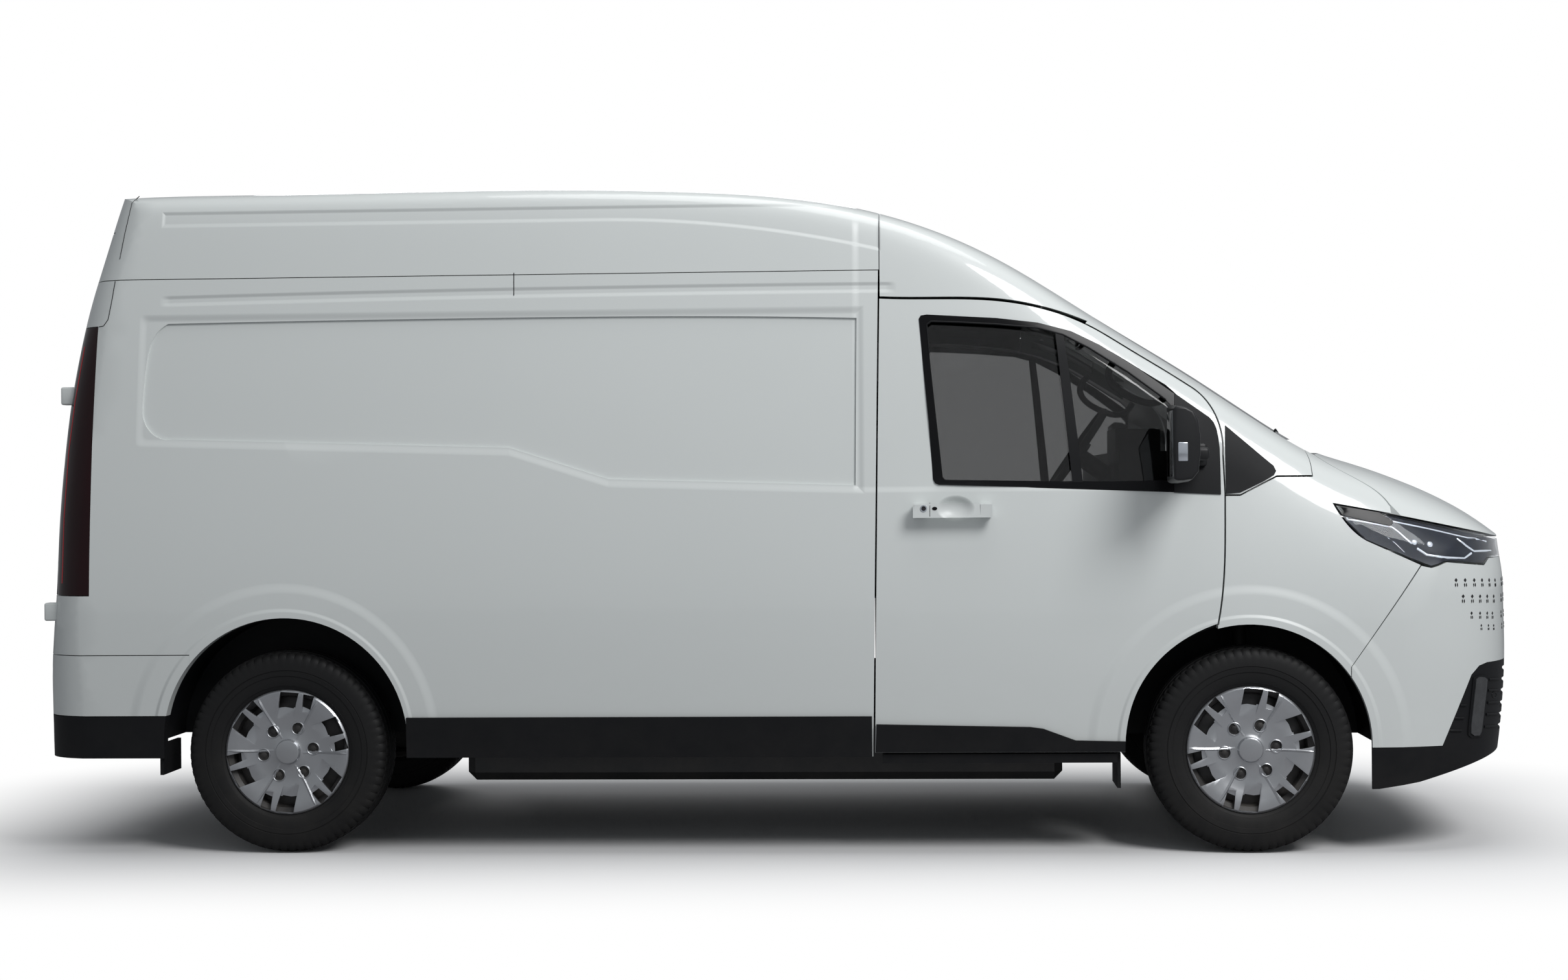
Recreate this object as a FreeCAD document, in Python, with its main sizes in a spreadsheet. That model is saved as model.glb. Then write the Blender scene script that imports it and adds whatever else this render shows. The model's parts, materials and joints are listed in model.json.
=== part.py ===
import FreeCAD, Part
import math
import os

# Panel van with a high roof and a long wheelbase, electric, front-wheel drive and right-hand drive.
# Frame: +X forwards, +Z up, the driver's side at -Y. The origin is on the ground under the middle.

os.makedirs("parts", exist_ok=True)
doc = FreeCAD.newDocument("PanelVan")
V = FreeCAD.Vector

# Driving dimensions, in millimetres and degrees

DIMENSIONS = [
    ("overall_length", 5310, "nose of the front bumper to the rear step"),
    ("overall_width", 2030, "across the sides, without the mirrors"),
    ("overall_height", 2390, "ground to the crown of the high roof"),
    ("wheelbase", 3366, "front axle to rear axle"),
    ("front_overhang", 989, "front axle to the nose"),
    ("track", 1717, "between the wheels' middles"),
    ("tyre_radius", 356, "standing height of the axle"),
    ("tyre_width", 215, "over the sidewalls"),
    ("rim_radius", 203, "bead seat of the 16 inch wheel"),
    ("wall", 45, "thickness of the sides and doors, inner skin included"),
    ("door_gap", 6, "round each moving panel"),
    ("seam", 3, "between two fixed panels"),
    ("glass_thick", 6, "windscreen and door glass"),
    ("roof_seam_z", 2033, "joint of the high roof with the side panels"),
    ("sill_z", 482, "top of the grey lower cladding"),
    ("side_bottom_z", 342, "lower edge of the sides"),
    ("cladding_thick", 14, "lower cladding beyond the side"),
    ("pressing", 8, "depth of the recessed panel in the sides"),
    ("b_pillar_x", 398, "rear edge of the front doors"),
    ("floor_z", 600, "top of the load floor"),
    ("floor_thick", 40, "load floor"),
    ("arch_radius", 440, "wheel arch openings"),
    ("rear_door_half", 790, "half width of the rear doorway at its sill"),
    ("rear_door_bottom", 560, "rear doorway's lower edge"),
    ("rear_door_top", 2215, "rear doorway's upper edge"),
]

sheet = doc.addObject("Spreadsheet::Sheet", "Dimensions")
for row, (alias, value, note) in enumerate(DIMENSIONS, start=1):
    sheet.set("A%d" % row, alias)
    sheet.set("B%d" % row, str(value))
    sheet.setAlias("B%d" % row, alias)
    sheet.set("C%d" % row, note)
doc.recompute()


def dim(alias):
    return float(sheet.get(alias))


# Every place below is written for a van of these sizes, and to_size() takes it to the sheet's sizes
LENGTH, WIDTH, HEIGHT = 5310.0, 2030.0, 2390.0
CHASSIS_TOP = 850
STRETCH_X = dim("overall_length") / LENGTH
STRETCH_Y = dim("overall_width") / WIDTH
STRETCH_Z = (dim("overall_height") - CHASSIS_TOP) / (HEIGHT - CHASSIS_TOP)


def to_size(x, y, z):
    """Place in the van at the sheet's length, width and height; the chassis keeps its height."""
    if z > CHASSIS_TOP:
        z = CHASSIS_TOP + (z - CHASSIS_TOP) * STRETCH_Z
    return V(x * STRETCH_X, y * STRETCH_Y, z)


WALL = dim("wall")
NOSE_X = LENGTH / 2
TAIL_X = -LENGTH / 2
FRONT_AXLE_X = NOSE_X - dim("front_overhang")
REAR_AXLE_X = FRONT_AXLE_X - dim("wheelbase")
HALF_TRACK = dim("track") / 2
TYRE_R = dim("tyre_radius")
GAP = dim("door_gap")
SEAM = dim("seam")


def along(table, value):
    """Smooth value of a table of (position, size) rows at a position."""
    if value <= table[0][0]:
        return table[0][1]
    if value >= table[-1][0]:
        return table[-1][1]
    i = max(k for k in range(len(table) - 1) if table[k][0] <= value)
    x0, y0 = table[i]
    x1, y1 = table[i + 1]
    before = table[i - 1] if i > 0 else table[i]
    after = table[i + 2] if i + 2 < len(table) else table[i + 1]
    span = x1 - x0
    m0 = (y1 - before[1]) / (x1 - before[0]) * span
    m1 = (after[1] - y0) / (after[0] - x0) * span
    u = (value - x0) / span
    return ((2 * u ** 3 - 3 * u ** 2 + 1) * y0 + (u ** 3 - 2 * u ** 2 + u) * m0
            + (3 * u ** 2 - 2 * u ** 3) * y1 + (u ** 3 - u ** 2) * m1)


# Outer skin: sections across the van, from the centre line seen from the side

TOP_LINE = [(-2750, 2335), (-2360, 2376), (-1840, 2382), (-1130, 2389), (-894, 2390), (-430, 2380),
            (40, 2351), (404, 2285), (700, 2183), (899, 2083), (1168, 1916), (1484, 1726),
            (1717, 1567), (1890, 1440), (1960, 1402), (2153, 1350), (2387, 1258), (2503, 1206),
            (2610, 1130), (2750, 1000)]
# station: x, crown drop, half width of the top, shoulder drop, half width there, half width at mid height
STATIONS = [
    (-2750, 31, 755, 140, 848, 1015),
    (-1800, 31, 755, 140, 850, 1015),
    (-900, 31, 755, 140, 850, 1015),
    (-200, 31, 755, 140, 852, 1015),
    (404, 34, 755, 145, 868, 1015),
    (700, 40, 745, 150, 885, 1013),
    (1016, 52, 735, 160, 893, 1011),
    (1368, 62, 715, 170, 900, 1008),
    (1717, 60, 720, 185, 912, 1003),
    (1890, 45, 730, 185, 925, 999),
    (2035, 38, 680, 200, 935, 990),
    (2269, 35, 600, 245, 940, 975),
    (2503, 35, 550, 255, 930, 955),
    (2750, 30, 500, 220, 900, 930),
]
HULL_BOTTOM = 200
MID_Z = 900
MID_EXTRA = 3
STATION_STEP = 157


def station_size(column, x):
    return along([(row[0], row[column]) for row in STATIONS], x)


def section_points(x, inset):
    """Half of a cross-section's outline, from the bottom of the side to the crown of the top."""
    crown, top_half, drop, shoulder_half, mid_half = [station_size(k, x) for k in range(1, 6)]
    top = along(TOP_LINE, x) - inset
    widen = MID_EXTRA - inset
    shoulder_z = top - drop
    points = []
    for share in (0, 0.11, 0.23, 0.34, 0.52, 0.76, 1):
        z = HULL_BOTTOM + (shoulder_z - HULL_BOTTOM) * share
        lean = max(0.0, z - MID_Z) / (shoulder_z - MID_Z)
        tuck = 32 * (max(0.0, MID_Z - z) / (MID_Z - HULL_BOTTOM)) ** 1.5
        y = mid_half - tuck - (mid_half - shoulder_half) * (0.5 * lean + 0.5 * lean ** 2)
        points.append((y + widen, z))
    high, edge = shoulder_half + widen, top_half + widen
    return points + [(high * 0.72 + edge * 0.28 + 4, top - crown - drop * 0.30 + 6),
                     (edge, top - crown), (edge * 0.66, top - crown * 0.42),
                     (edge * 0.33, top - crown * 0.11), (0, top)]


def smooth_face(rows):
    """Cubic surface that the rows of control points guide, with no waves between them."""
    def clamped(count):
        return [4] + [1] * (count - 4) + [4], list(range(count - 2))

    along_mults, along_knots = clamped(len(rows))
    across_mults, across_knots = clamped(len(rows[0]))
    surface = Part.BSplineSurface()
    surface.buildFromPolesMultsKnots([[to_size(*p) for p in row] for row in rows], along_mults, across_mults,
                                     along_knots, across_knots, False, False, 3, 3)
    return surface.toShape()


def closed_solid(faces):
    shell = Part.Compound(faces)
    shell.sewShape()
    solid = Part.Solid(shell.Shells[0] if shell.Shells else Part.Shell(shell.Faces))
    if solid.Volume < 0:
        solid.reverse()
    return solid


def spread(low, high, step):
    count = round((high - low) / step)
    return [low + (high - low) * k / count for k in range(count + 1)]


def flat_cap(face, coordinate, value):
    """Planar face that closes the rim of a skin face at one value of a coordinate."""
    rim = [e for e in face.Edges
           if all(abs(getattr(v.Point, coordinate) - value) < 0.01 for v in e.Vertexes)
           and abs(getattr(e.CenterOfMass, coordinate) - value) < 0.01]
    ends = [v.Point for e in rim for v in e.Vertexes]
    if not rim[0].isClosed() and len(rim) == 1:
        rim.append(Part.LineSegment(ends[1], ends[0]).toShape())
    return Part.Face(Part.Wire(rim))


def hull_solid(inset):
    stations = spread(STATIONS[0][0], STATIONS[-1][0], STATION_STEP)
    rows = []
    for x in stations:
        half = section_points(x, inset)
        rows.append([(x, -y, z) for y, z in half] + [(x, y, z) for y, z in reversed(half[:-1])])
    top = smooth_face(rows)
    near_rear, near_front, far_front, far_rear = [to_size(*rows[i][j])
                                                  for i, j in ((0, 0), (-1, 0), (-1, -1), (0, -1))]
    right, left = [e for e in top.Edges if abs(e.Vertexes[0].X - e.Vertexes[-1].X) > 1]
    bottom = Part.Wire(Part.__sortEdges__([right, Part.LineSegment(near_front, far_front).toShape(), left,
                                           Part.LineSegment(far_rear, near_rear).toShape()]))
    return closed_solid([top, Part.Face(bottom), flat_cap(top, "x", stations[0] * STRETCH_X),
                         flat_cap(top, "x", stations[-1] * STRETCH_X)])


# Ends in plan: how far the nose and the tail reach at each height, on the centre line

NOSE_LINE = [(150, 2605), (400, 2640), (640, 2655), (850, 2650), (985, 2648), (1100, 2622), (1300, 2650),
             (1500, 2700), (2450, 2700)]
TAIL_LINE = [(150, -2612), (650, -2614), (920, -2592), (1184, -2585), (1418, -2571), (1616, -2553),
             (1903, -2503), (2071, -2460), (2176, -2432), (2280, -2405), (2450, -2365)]
SIDE_LINE = [(150, 985), (450, 992), (900, 1015), (1280, 985), (1600, 945), (1950, 903), (2150, 868),
             (2300, 840), (2450, 780)]
END_STEP = 100
END_BOTTOM = 150
END_TOP = 2450


def end_points(z, inset):
    """Plan outline of both ends at one height, round from the right side's middle and back to it."""
    nose = along(NOSE_LINE, z) - inset
    tail = along(TAIL_LINE, z) + inset
    half = along(SIDE_LINE, z) - inset
    front = [(0, 1.06), (nose - 1100, 1.06), (nose - 640, 1.01), (nose - 400, 0.965), (nose - 215, 0.89),
             (nose - 90, 0.76), (nose - 29, 0.6), (nose - 6, 0.3), (nose, 0)]
    rear = [(tail, 0), (tail + 4, 0.3), (tail + 14, 0.6), (tail + 28, 0.8), (tail + 50, 0.9),
            (tail + 105, 0.975), (tail + 240, 1.03), (tail + 700, 1.06), (0, 1.06)]
    right = [(x, -f * half, z) for x, f in front]
    left = [(x, f * half, z) for x, f in reversed(front[:-1])]
    left_rear = [(x, f * half, z) for x, f in reversed(rear[:-1])]
    right_rear = [(x, -f * half, z) for x, f in rear[1:]]
    return right + left + left_rear + right_rear


def ends_solid(inset):
    heights = spread(END_BOTTOM, END_TOP, END_STEP)
    wall = smooth_face([end_points(z, inset) for z in heights])
    return closed_solid([wall, flat_cap(wall, "z", heights[0]),
                         flat_cap(wall, "z", to_size(0, 0, heights[-1]).z)])


def skin(inset):
    """Solid bounded by the outer skin, moved inwards by the inset."""
    return hull_solid(inset).common(ends_solid(inset))


INNER_STATIONS = (-2700, -1800, -700, 0, 404, 700, 950, 1168, 1484, 1890, 2269, 2750)
INNER_CORNERS = (0, 3, 5, 6, 8, 11)
INNER_HEIGHTS = (150, 650, 1200, 1700, 2076, 2450)
INNER_PLAN = (0, 2, 4, 6, 8, 10, 12, 14, 16, 18, 21, 23, 25, 27, 29, 31)


def inner_space(inset):
    """Flat-sided space inside the skin, which the walls' inner faces follow."""
    sections = []
    for x in INNER_STATIONS:
        points = section_points(x, inset)
        half = [points[k] for k in INNER_CORNERS]
        ring = [to_size(x, -y, z) for y, z in half] + [to_size(x, y, z) for y, z in reversed(half[:-1])]
        sections.append(Part.makePolygon(ring + ring[:1]))
    plans = []
    for z in INNER_HEIGHTS:
        points = end_points(z, inset)
        ring = [to_size(*points[k]) for k in INNER_PLAN]
        plans.append(Part.makePolygon(ring + ring[:1]))
    return Part.makeLoft(sections, True, True).common(Part.makeLoft(plans, True, True))


# Document helpers

PIECES = {}


def feature(label, shape):
    obj = doc.addObject("Part::Feature", label)
    obj.Label = label
    obj.Shape = shape
    obj.Placement = FreeCAD.Placement()
    return obj


def keep(node, obj):
    obj.Label = node
    PIECES[node] = obj
    return obj


def cut(label, base, tool):
    obj = doc.addObject("Part::Cut", label)
    obj.Label = label
    obj.Base = base
    obj.Tool = tool
    return obj


def common(label, base, tool):
    obj = doc.addObject("Part::Common", label)
    obj.Label = label
    obj.Base = base
    obj.Tool = tool
    return obj


def fuse(label, parts):
    obj = doc.addObject("Part::MultiFuse", label)
    obj.Label = label
    obj.Shapes = parts
    return obj


def mirrored(label, source):
    obj = doc.addObject("Part::Mirroring", label)
    obj.Label = label
    obj.Source = source
    obj.Normal = V(0, 1, 0)
    return obj


def loop(items, plane="XZ"):
    """Closed wire; a tuple is a corner, and a list is a smooth stretch from the corner before it."""
    def point(a, b):
        return {"XZ": to_size(a, 0, b), "XY": to_size(a, b, 0), "YZ": to_size(0, a, b)}[plane]

    edges = []
    here = items[0]
    for item in items[1:] + [items[0]]:
        if isinstance(item, list):
            curve = Part.BSplineCurve()
            curve.interpolate([point(*p) for p in [here] + item])
            edges.append(curve.toShape())
            here = item[-1]
        else:
            if item != here:
                edges.append(Part.LineSegment(point(*here), point(*item)).toShape())
            here = item
    return Part.Wire(edges)


def grown(wire, distance):
    """Wire moved outwards, its curves drawn again as splines, because STEP keeps no offset curves."""
    edges = []
    for edge in wire.makeOffset2D(distance).Edges:
        if not isinstance(edge.Curve, (Part.Line, Part.Circle)):
            curve = Part.BSplineCurve()
            curve.interpolate(edge.discretize(12))
            edge = curve.toShape()
        edges.append(edge)
    return Part.Wire(Part.__sortEdges__(edges))


def side_prism(items, inner=300, outer=1400, grow=0):
    """Prism through the right-hand side, from a side-view outline."""
    wire = loop(items)
    face = Part.Face(grown(wire, grow) if grow else wire)
    face.translate(to_size(0, -inner, 0))
    return face.extrude(to_size(0, inner - outer, 0))


def block(x0, x1, y0, y1, z0, z1):
    low, high = to_size(x0, y0, z0), to_size(x1, y1, z1)
    return Part.makeBox(*(high - low), low)


def rod(start, end, radius):
    start, end = to_size(*start), to_size(*end)
    return Part.makeCylinder(radius, (end - start).Length, start, end - start)


def both_sides(shape):
    return shape.fuse(shape.mirror(V(0, 0, 0), V(0, 1, 0)))


# Body shell: walls between the outer skin and the inner one

outer_skin = feature("outer_skin", skin(0))
inner_skin = feature("inner_skin", inner_space(WALL))
wall_shell = cut("wall_shell", outer_skin, inner_skin)
doc.recompute()


def moved_skin(x, y, z):
    """The outer skin, moved."""
    shape = outer_skin.Shape.copy()
    shape.translate(V(x, y, z))
    return shape


B_X = dim("b_pillar_x")
ROOF_Z = dim("roof_seam_z")
SIDE_Z = dim("side_bottom_z")
SILL_Z = dim("sill_z")

# Side view outlines of the right-hand side, x and z

DOOR = [(372, 355), (B_X, 1931),
        [(608, 1926), (855, 1912), (989, 1883), (1123, 1832), (1278, 1740), (1389, 1672), (1477, 1615)],
        [(1522, 1576), (1554, 1524), (1570, 1479), (1578, 1378)], (1581, 1240),
        [(1575, 1042), (1562, 880), (1548, 795)],
        [(1470, 762), (1385, 706), (1318, 636), (1272, 560), (1245, 480), (1232, 355)]]
WINDOW = [(596, 1290), (548, 1869), [(720, 1860), (944, 1837), (1056, 1806), (1167, 1758), (1279, 1691),
                                     (1390, 1621)], (1424, 1590), (1424, 1246), (940, 1265)]


def arch(x, z, radius, inner=560, outer=1400):
    reach = radius / STRETCH_X
    return rod((x, -inner, z), (x, -outer, z), radius).fuse(block(x - reach, x + reach, -outer, -inner, z - 500, z))


front_arch = arch(FRONT_AXLE_X - 9, 372, 420)
rear_arch = arch(REAR_AXLE_X + 7, 400, 432)

door_solid = side_prism(DOOR)
door_hole = side_prism(DOOR, grow=GAP)
REAR_HALF = dim("rear_door_half")
REAR_LOW = dim("rear_door_bottom")
REAR_TOP = dim("rear_door_top")
rear_hole = block(TAIL_X - 100, TAIL_X + 420, -REAR_HALF, REAR_HALF, REAR_LOW, REAR_TOP)


def panel(node, solid, holes=(), shell=wall_shell):
    """Piece of a shell inside a solid, less the holes."""
    piece = common(node + "_blank", shell, feature(node + "_zone", solid))
    for n, hole in enumerate(holes, start=1):
        piece = cut("%s_cut_%d" % (node, n), piece, feature("%s_hole_%d" % (node, n), hole))
    return keep(node, piece)


# Cargo body

LAMP_EDGE_X = -2384
tail_lamp_zone = block(TAIL_X - 50, LAMP_EDGE_X, -1100, -REAR_HALF - 22, 912, 1868)


def pillar_edge(z):
    """Front edge of the side panel, a door gap behind the front door's leaning rear edge."""
    (x0, z0), (x1, z1) = DOOR[:2]
    return x0 - GAP + (x1 - x0) * (z - z0) / (z1 - z0)


SIDE_TOP = ROOF_Z - SEAM / 2
side = side_prism([(TAIL_X - 100, SIDE_Z), (pillar_edge(SIDE_Z), SIDE_Z), (pillar_edge(SIDE_TOP), SIDE_TOP),
                   (TAIL_X - 100, SIDE_TOP)], inner=550, outer=1100)
front_well_tool = both_sides(rod((FRONT_AXLE_X, -530, TYRE_R), (FRONT_AXLE_X, -948.3, TYRE_R), 452.3))
rear_well_tool = both_sides(rod((REAR_AXLE_X, -690, 386), (REAR_AXLE_X, -950.3, 386), 452.3))
lower_rear = block(TAIL_X - 100, -2028, -1100, 0, 0, 705)
RECESS = [(-2125, 1873), [(-1562, 1878), (-985, 1880), (-412, 1879), (318, 1864)], (312, 1280), (-549, 1308),
          (-899, 1421), (-2095, 1461), [(-2165, 1478), (-2203, 1535), (-2207, 1600), (-2198, 1734), (-2180, 1815),
                                        (-2125, 1873)]]
recess = side_prism(RECESS, inner=700, outer=1100).cut(moved_skin(0, dim("pressing"), 0))
side_right = panel("side_panel_right", side, [recess, rear_arch, rear_hole, tail_lamp_zone, lower_rear, rear_well_tool,
                                             block(TAIL_X - 100, TAIL_X + 500, -REAR_HALF, 0, 0, 2600)])
keep("side_panel_left", mirrored("side_panel_left", side_right))
quarter = block(TAIL_X - 100, -2028.3, -1100, -REAR_HALF, 490, 702)
quarters = cut("rear_quarters_right", common("quarter_blank", wall_shell, feature("quarter_zone", quarter)),
               feature("quarter_hole", rear_arch.fuse(rear_well_tool)))
keep("rear_quarters", fuse("rear_quarters", [quarters, mirrored("rear_quarters_left", quarters)]))

roof = block(TAIL_X - 100, B_X - SEAM / 2, -1100, 1100, ROOF_Z + SEAM / 2, HEIGHT + 100)
panel("roof_panel", roof, [rear_hole])

# Cab

ROOF_FRONT = [(B_X + SEAM / 2, 2500), (B_X + SEAM / 2, 1931 + GAP + 3),
              [(608, 1936), (855, 1923), (995, 1893), (1125, 1850)], (1195, 1897), (1300, 2500)]
cap_zone = both_sides(side_prism(ROOF_FRONT, inner=-1, outer=1400))
cap = panel("roof_front_cap", cap_zone)
tongue = block(B_X - SEAM / 2 + 0.3, B_X + 30, -640, 640, ROOF_Z, HEIGHT).common(
    inner_space(WALL - 20)).cut(inner_space(WALL))
keep("roof_front_cap", fuse("roof_front_cap_tongued", [cap, feature("cap_tongue", tongue)]))
SCREEN_FRONT = [(-735, 1428), (-640, 1905), [(-330, 1920), (0, 1926), (330, 1920), (640, 1905)], (735, 1428),
                [(370, 1434), (0, 1436), (-370, 1434), (-735, 1428)]]


def screen_prism(shrink):
    wire = loop(SCREEN_FRONT, "YZ")
    face = Part.Face(grown(wire, -shrink) if shrink else wire)
    face.translate(to_size(700, 0, 0))
    return face.extrude(to_size(1600, 0, 0))


PILLAR_X = 1890
PILLAR = [(1128, 1852), (1198, 1900), (1300, 2300), (2000, 2300), (PILLAR_X, 1302), (1765, 1302),
          (1636, 1238), (1600, 1238), (1450, 1238), (1000, 1700)]
panel("cab_frame", both_sides(side_prism(PILLAR, inner=-1)).common(block(900, PILLAR_X, -1100, 1100, 1200, 2300)),
      [both_sides(door_hole), screen_prism(0), cap_zone, block(1000, 2200, -735, 735, 1000, 1442)])
GLASS = dim("glass_thick")
panel("windscreen", screen_prism(0.3).cut(moved_skin(-GLASS * 0.55, 0, -GLASS * 0.84)), [cap_zone], shell=outer_skin)

# Bonnet, cowl, wings, lamps and bumper

BONNET_PLAN = [(1925, -725), [(1975, -500), (2005, -250), (2012, 0), (2005, 250), (1975, 500), (1925, 725)],
               [(1973, 782), (2085, 835), (2156, 885)], (2300, 960), (2800, 1100), (2800, -1100),
               (2300, -960), (2156, -885), [(2085, -835), (1973, -782), (1925, -725)]]
LAMP_TOP = [(2160, 1163), (2390, 1119), (2640, 1069)]


def plan_prism(items, grow=0, low=1000, high=1600):
    wire = loop(items, "XY")
    face = Part.Face(grown(wire, grow) if grow else wire)
    face.translate(to_size(0, 0, low))
    return face.extrude(to_size(0, 0, high) - to_size(0, 0, low))


above_lamps = side_prism([(1850, 1215), (2080, 1215), (2160, 1166)] + LAMP_TOP[1:] + [(2800, 1038), (2800, 1600),
                                                                          (1850, 1600)], inner=-1200, outer=1200)
bonnet_zone = plan_prism(BONNET_PLAN, -GAP / 2).common(above_lamps)
bonnet_hole = plan_prism(BONNET_PLAN, GAP / 2).common(
    side_prism([(1850, 1209), (2078, 1209), (2160, 1160), (2390, 1113), (2800, 1032), (2800, 1600), (1850, 1600)],
               inner=-1200, outer=1200))
HINGE_X, HINGE_Z, HINGE_Y = 2000, 1360, 300


def hinge_rod(radius, half):
    return rod((HINGE_X, -HINGE_Y - half, HINGE_Z), (HINGE_X, -HINGE_Y + half, HINGE_Z), radius)


hinge_notch = both_sides(block(HINGE_X - 14, HINGE_X + 14, -HINGE_Y - 22, -HINGE_Y + 22, 1200, HINGE_Z + 8).fuse(
    hinge_rod(6.3, 40)))
panel("bonnet", bonnet_zone, [hinge_notch])

cowl_zone = block(1780, 2100, -733, 733, 1000, 1424)
cowl_hole = plan_prism(BONNET_PLAN, 26)
cowl = cut("cowl_raw", common("cowl_blank", wall_shell, feature("cowl_zone", cowl_zone)),
           feature("cowl_hole", cowl_hole))
cowl.Placement = FreeCAD.Placement(V(0, 0, -22), FreeCAD.Rotation())
hinge_arm = block(HINGE_X - 5, HINGE_X + 5, -HINGE_Y - 15, -HINGE_Y + 15, 1250, HINGE_Z).fuse(hinge_rod(6, 38))
plenum = block(1850, 2012, -700, 700, 1240, 1262).fuse(block(1850, 1870, -700, 700, 1262, 1420)).common(inner_skin.Shape)
keep("cowl_panel", fuse("cowl_panel", [cowl, feature("plenum", plenum), feature("hinge_arms", both_sides(hinge_arm))]))

WING = [(1550, 300), (1550, 1232), (1636, 1232), (1765, 1296), (1893, 1296), (1893, 1600), (2158, 1600),
        (2158, 1168), (1954, 1206), [(1976, 1165), (2020, 1108), (2064, 1074)], (2247, 990), (2002, 643), (2002, 300)]
wing_right = panel("wing_right", side_prism(WING, inner=400), [front_arch, door_hole, bonnet_hole, front_well_tool,
                                                                  block(1700, 2200, -733, 0, 1000, 1600)])
del PIECES["wing_right"]
keep("front_wings", fuse("front_wings", [wing_right, mirrored("wing_left", wing_right)]))

LAMP = [(1966, 1197), (2158, 1160), (2390, 1111), (2700, 1048), (2700, 1012), (2516, 1010), (2492, 986),
        (2340, 1001), (2312, 990), (2285, 982), (2062, 1075), (2000, 1140)]
LAMP_INNER_Y = 410
lamp_zone = side_prism(LAMP, inner=LAMP_INNER_Y)
lamp_right = common("headlamp_right", wall_shell, feature("lamp_zone", lamp_zone))
keep("headlamps", fuse("headlamps", [lamp_right, mirrored("headlamp_left", lamp_right)]))

BUMPER = [(2005, 200), (2005, 643), (2250, 987), (2285, 979), (2312, 987), (2340, 998), (2492, 983),
          (2516, 1007), (2800, 1009), (2800, 200)]
BUMPER_UNDER = [(1990, 100), (1990, 221), (2100, 222), (2243, 244), (2450, 297), (2587, 331), (2800, 380), (2800, 100)]
GRILLE = [(2050, 100), (2050, 366), (2325, 366), (2434, 607), (2466, 637), (2500, 646), (2800, 652), (2800, 100)]
under = side_prism(BUMPER_UNDER, inner=-1200, outer=1200)
grille_zone = side_prism(GRILLE, inner=-1200, outer=1200)
bumper_zone = both_sides(side_prism(BUMPER, inner=-1)).fuse(
    block(2400, 2800, -LAMP_INNER_Y + SEAM, LAMP_INNER_Y - SEAM, 980, 1200).cut(bonnet_hole))
front_arches = both_sides(front_arch)
panel("front_bumper", bumper_zone, [under, grille_zone, front_arches, front_well_tool])
slots = [block(2455, 2800, -700, 700, z, z + 20) for z in (398, 438, 478, 522, 562, 602)]
panel("lower_grille", grille_zone, [under, front_arches, front_well_tool] + slots)

# Front doors

door_well = rod((FRONT_AXLE_X, -530, TYRE_R), (FRONT_AXLE_X, -960, TYRE_R), 458)
HANDLE = (509, 785, 1166, 1215)
HANDLE_DEPTH = 52
door_blank = panel("front_door_right", door_solid, [side_prism(WINDOW), door_well])
grip = moved_skin(0, -HANDLE_DEPTH, 0).common(block(HANDLE[0], HANDLE[1], -1200, -900, HANDLE[2], HANDLE[3])).cut(
    moved_skin(0, 18 - HANDLE_DEPTH, 0))
grip_feet = block(HANDLE[0] + 4, HANDLE[0] + 44, -1045, -975, HANDLE[2] + 4, HANDLE[3] - 4).fuse(
    block(HANDLE[1] - 44, HANDLE[1] - 4, -1045, -975, HANDLE[2] + 4, HANDLE[3] - 4))
door_right = keep("front_door_right", fuse("front_door_right_handled", [door_blank, feature("door_grip", grip),
                                                                        feature("grip_feet", grip_feet)]))
keep("front_door_left", mirrored("front_door_left", door_right))
pane_zone = side_prism(WINDOW, grow=-0.5).common(moved_skin(0, 18, -3))
pane = feature("door_glass_right", pane_zone.cut(moved_skin(0, 18 + GLASS, -3)))
keep("door_glass_right", pane)
keep("door_glass_left", mirrored("door_glass_left", pane))
clad_skin = moved_skin(0, -dim("cladding_thick"), 0)


def cladding(label, zone):
    """Cladding that lies on the right-hand skin inside a zone."""
    return cut(label, feature(label + "_zone", zone.common(clad_skin)), outer_skin)


DOOR_CLAD = [(374, 357), (378, 454), (907, 443), (951, 437), (1062, 396), (1232, 392), (1231, 357)]
clad_right = cladding("door_clad_right", side_prism(DOOR_CLAD))
keep("door_cladding_right", clad_right)
keep("door_cladding_left", mirrored("door_cladding_left", clad_right))


def mirror_head():
    head = block(1368, 1474, -1292, -1072, 1276, 1545)
    head = head.makeFillet(40, [e for e in head.Edges if abs(e.Vertexes[0].X - e.Vertexes[-1].X) > 1])
    arm = block(1440, 1522, -1100, -936, 1352, 1402)
    return head.fuse(arm.cut(outer_skin.Shape))


mirror = feature("mirror_right", mirror_head())
keep("mirror_right", mirror)
keep("mirror_left", mirrored("mirror_left", mirror))

# Left side's sliding door, shut

SLIDER = (-862, 340, 360, 1990)
slider_zone = block(SLIDER[0], SLIDER[1], 300, 1400, SLIDER[2], SLIDER[3])
slider_zone = slider_zone.makeFillet(70, [e for e in slider_zone.Edges if abs(e.Vertexes[0].Y - e.Vertexes[-1].Y) > 1])
slider_hole = block(SLIDER[0] - GAP, SLIDER[1] + GAP, 300, 1400, SLIDER[2] - GAP, SLIDER[3] + GAP)
slider_hole = slider_hole.makeFillet(76, [e for e in slider_hole.Edges if abs(e.Vertexes[0].Y - e.Vertexes[-1].Y) > 1])
left_blank = PIECES["side_panel_left"]
left_blank.Label = "side_left_blank"
keep("side_panel_left", cut("side_panel_left_cut", left_blank, feature("slider_hole", slider_hole)))
keep("sliding_door", common("sliding_door", left_blank, feature("slider_zone", slider_zone)))

# Rear doors, lamps and bumper

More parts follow.
